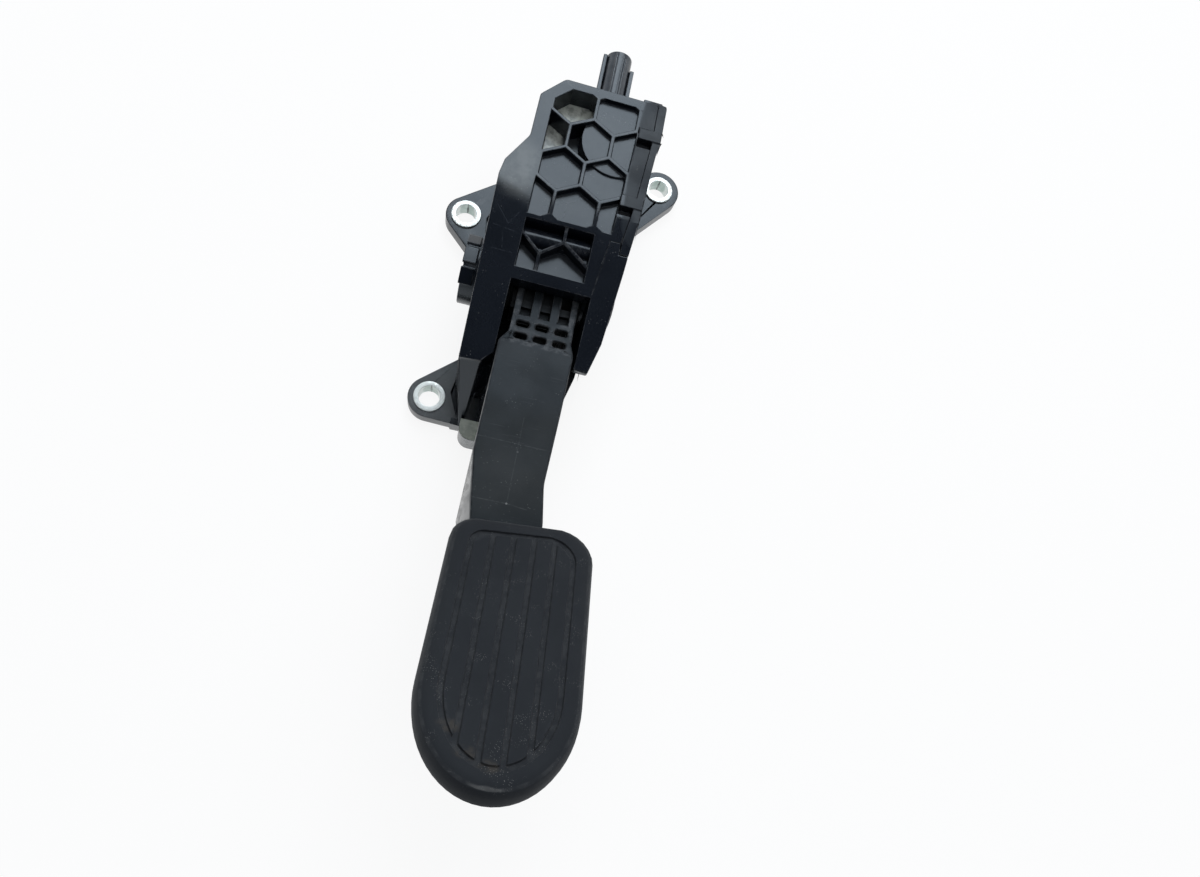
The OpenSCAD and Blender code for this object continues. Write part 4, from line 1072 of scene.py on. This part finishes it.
@dataclass
class Studio:
    """White floor, soft lamps and a pale surround.

    Args:
        floor_size: Side of the floor.
        floor_drop: How far the floor lies below the part.
        floor_tone: How light the floor is.
        floor_white: Share of plain white in what is seen of the floor.
        horizon: Strength of the surround at the horizon.
        zenith: Its strength overhead.
        camera_side: Its share on the camera's side.
        cool: Colour of the lamps and the surround.
        middle: Point that the lamps face.
        lamps: The lamps.
    """

    floor_size: float = 6.0
    floor_drop: float = 0.4 * MM
    floor_tone: float = 0.9
    floor_white: float = 0.88
    horizon: float = 0.85
    zenith: float = 0.07
    camera_side: float = 0.35
    cool: Triple = (0.95, 1.0, 1.05)
    middle: Triple = (0.0, 0.0, 0.03)
    lamps: tuple[SoftLamp, ...] = (
        SoftLamp("back_softbox", (0.03, 0.95, 1.15), (0.72, 0.84), 7.4),
        SoftLamp("overhead_fill", (0.1, 0.2, 1.4), (1.6, 1.6), 17.0, mirrored=False),
    )

    def white_where_seen(self, w: Wiring, shader: bpy.types.NodeSocket, share: float,
                         mirrored: object) -> bpy.types.NodeSocket:
        """Mixes white light into a shader for what the camera or a mirror-like surface sees.

        Args:
            w: Wiring of the material or the world.
            shader: Shader that lights the object.
            share: Share of plain white where it is seen.
            mirrored: Share of that white which mirror-like surfaces see.

        Returns:
            The mixed shader's socket.
        """
        path = w.add("ShaderNodeLightPath")
        seen = w.maths("MAXIMUM", path.outputs["Is Camera Ray"], path.outputs["Is Transmission Ray"])
        seen = w.maths("MAXIMUM", seen, w.maths("MULTIPLY", path.outputs["Is Glossy Ray"], mirrored))
        mix = w.add("ShaderNodeMixShader")
        w.join(w.maths("MULTIPLY", seen, share), mix.inputs[0])
        w.join(shader, mix.inputs[1])
        kind = "ShaderNodeBackground" if shader.node.type == "BACKGROUND" else "ShaderNodeEmission"
        white = w.add(kind)
        white.inputs[0].default_value = (1.0, 1.0, 1.0, 1.0)
        w.join(white.outputs[0], mix.inputs[2])
        return mix.outputs[0]

    def floor(self) -> None:
        """Makes the floor that the part lies on."""
        bpy.ops.object.select_all(action="DESELECT")
        bpy.ops.mesh.primitive_plane_add(size=self.floor_size, location=(0.0, 0.0, -self.floor_drop))
        floor = bpy.context.object
        floor.name = "floor"
        material = bpy.data.materials.new("floor_white")
        material.use_nodes = True
        w = Wiring(material.node_tree)
        shader = material.node_tree.nodes["Principled BSDF"]
        shader.inputs["Base Color"].default_value = grey(self.floor_tone)
        shader.inputs["Roughness"].default_value = 0.9
        output = material.node_tree.nodes["Material Output"]
        seen = self.white_where_seen(w, shader.outputs[0], self.floor_white, 1.0)
        w.join(seen, output.inputs["Surface"])
        floor.data.materials.append(material)

    def world(self) -> None:
        """Makes the surround, pale at the horizon, and dim overhead and on the camera's side."""
        world = bpy.data.worlds.new("surround")
        bpy.context.scene.world = world
        world.use_nodes = True
        w = Wiring(world.node_tree)
        back = world.node_tree.nodes["Background"]
        back.inputs["Color"].default_value = (*self.cool, 1.0)
        height = w.add("ShaderNodeSeparateXYZ")
        w.join(w.add("ShaderNodeTexCoord").outputs["Generated"], height.inputs[0])
        rising = w.ramp(height.outputs["Z"], 0.1, 0.75, self.horizon, self.zenith)
        behind = w.ramp(height.outputs["Y"], -0.7, 0.4, self.camera_side, 1.0)
        w.join(w.maths("MULTIPLY", rising, behind), back.inputs["Strength"])
        output = world.node_tree.nodes["World Output"]
        low = w.ramp(height.outputs["Z"], 0.02, 0.2, 1.0, 0.0)
        w.join(self.white_where_seen(w, back.outputs[0], 1.0, low), output.inputs["Surface"])

    def lamp(self, given: SoftLamp) -> None:
        """Hangs a lamp.

        Args:
            given: The lamp's place, size and power.
        """
        data = bpy.data.lights.new(given.name, "AREA")
        data.shape = "RECTANGLE"
        data.size, data.size_y = given.size
        data.energy = given.power
        data.color = self.cool
        lamp = bpy.data.objects.new(given.name, data)
        bpy.context.scene.collection.objects.link(lamp)
        lamp.visible_camera = False
        lamp.visible_glossy = given.mirrored
        place = Vector(given.place)
        turn = (Vector(self.middle) - place).to_track_quat("-Z", "Y")
        lamp.matrix_world = Matrix.Translation(place) @ turn.to_matrix().to_4x4()

    def build(self) -> None:
        """Sets up the floor, the surround and the lamps."""
        bpy.context.scene.view_settings.view_transform = "Standard"
        self.floor()
        self.world()
        for given in self.lamps:
            self.lamp(given)


def main() -> None:
    """Builds every sub-assembly in order and reports it."""
    for part in (PhotoCamera(), Studio(), HousingShell(), PedalLever(), Mechanism()):
        LOG.info("building %s", type(part).__name__)
        part.build()


if __name__ == "__main__":
    main()
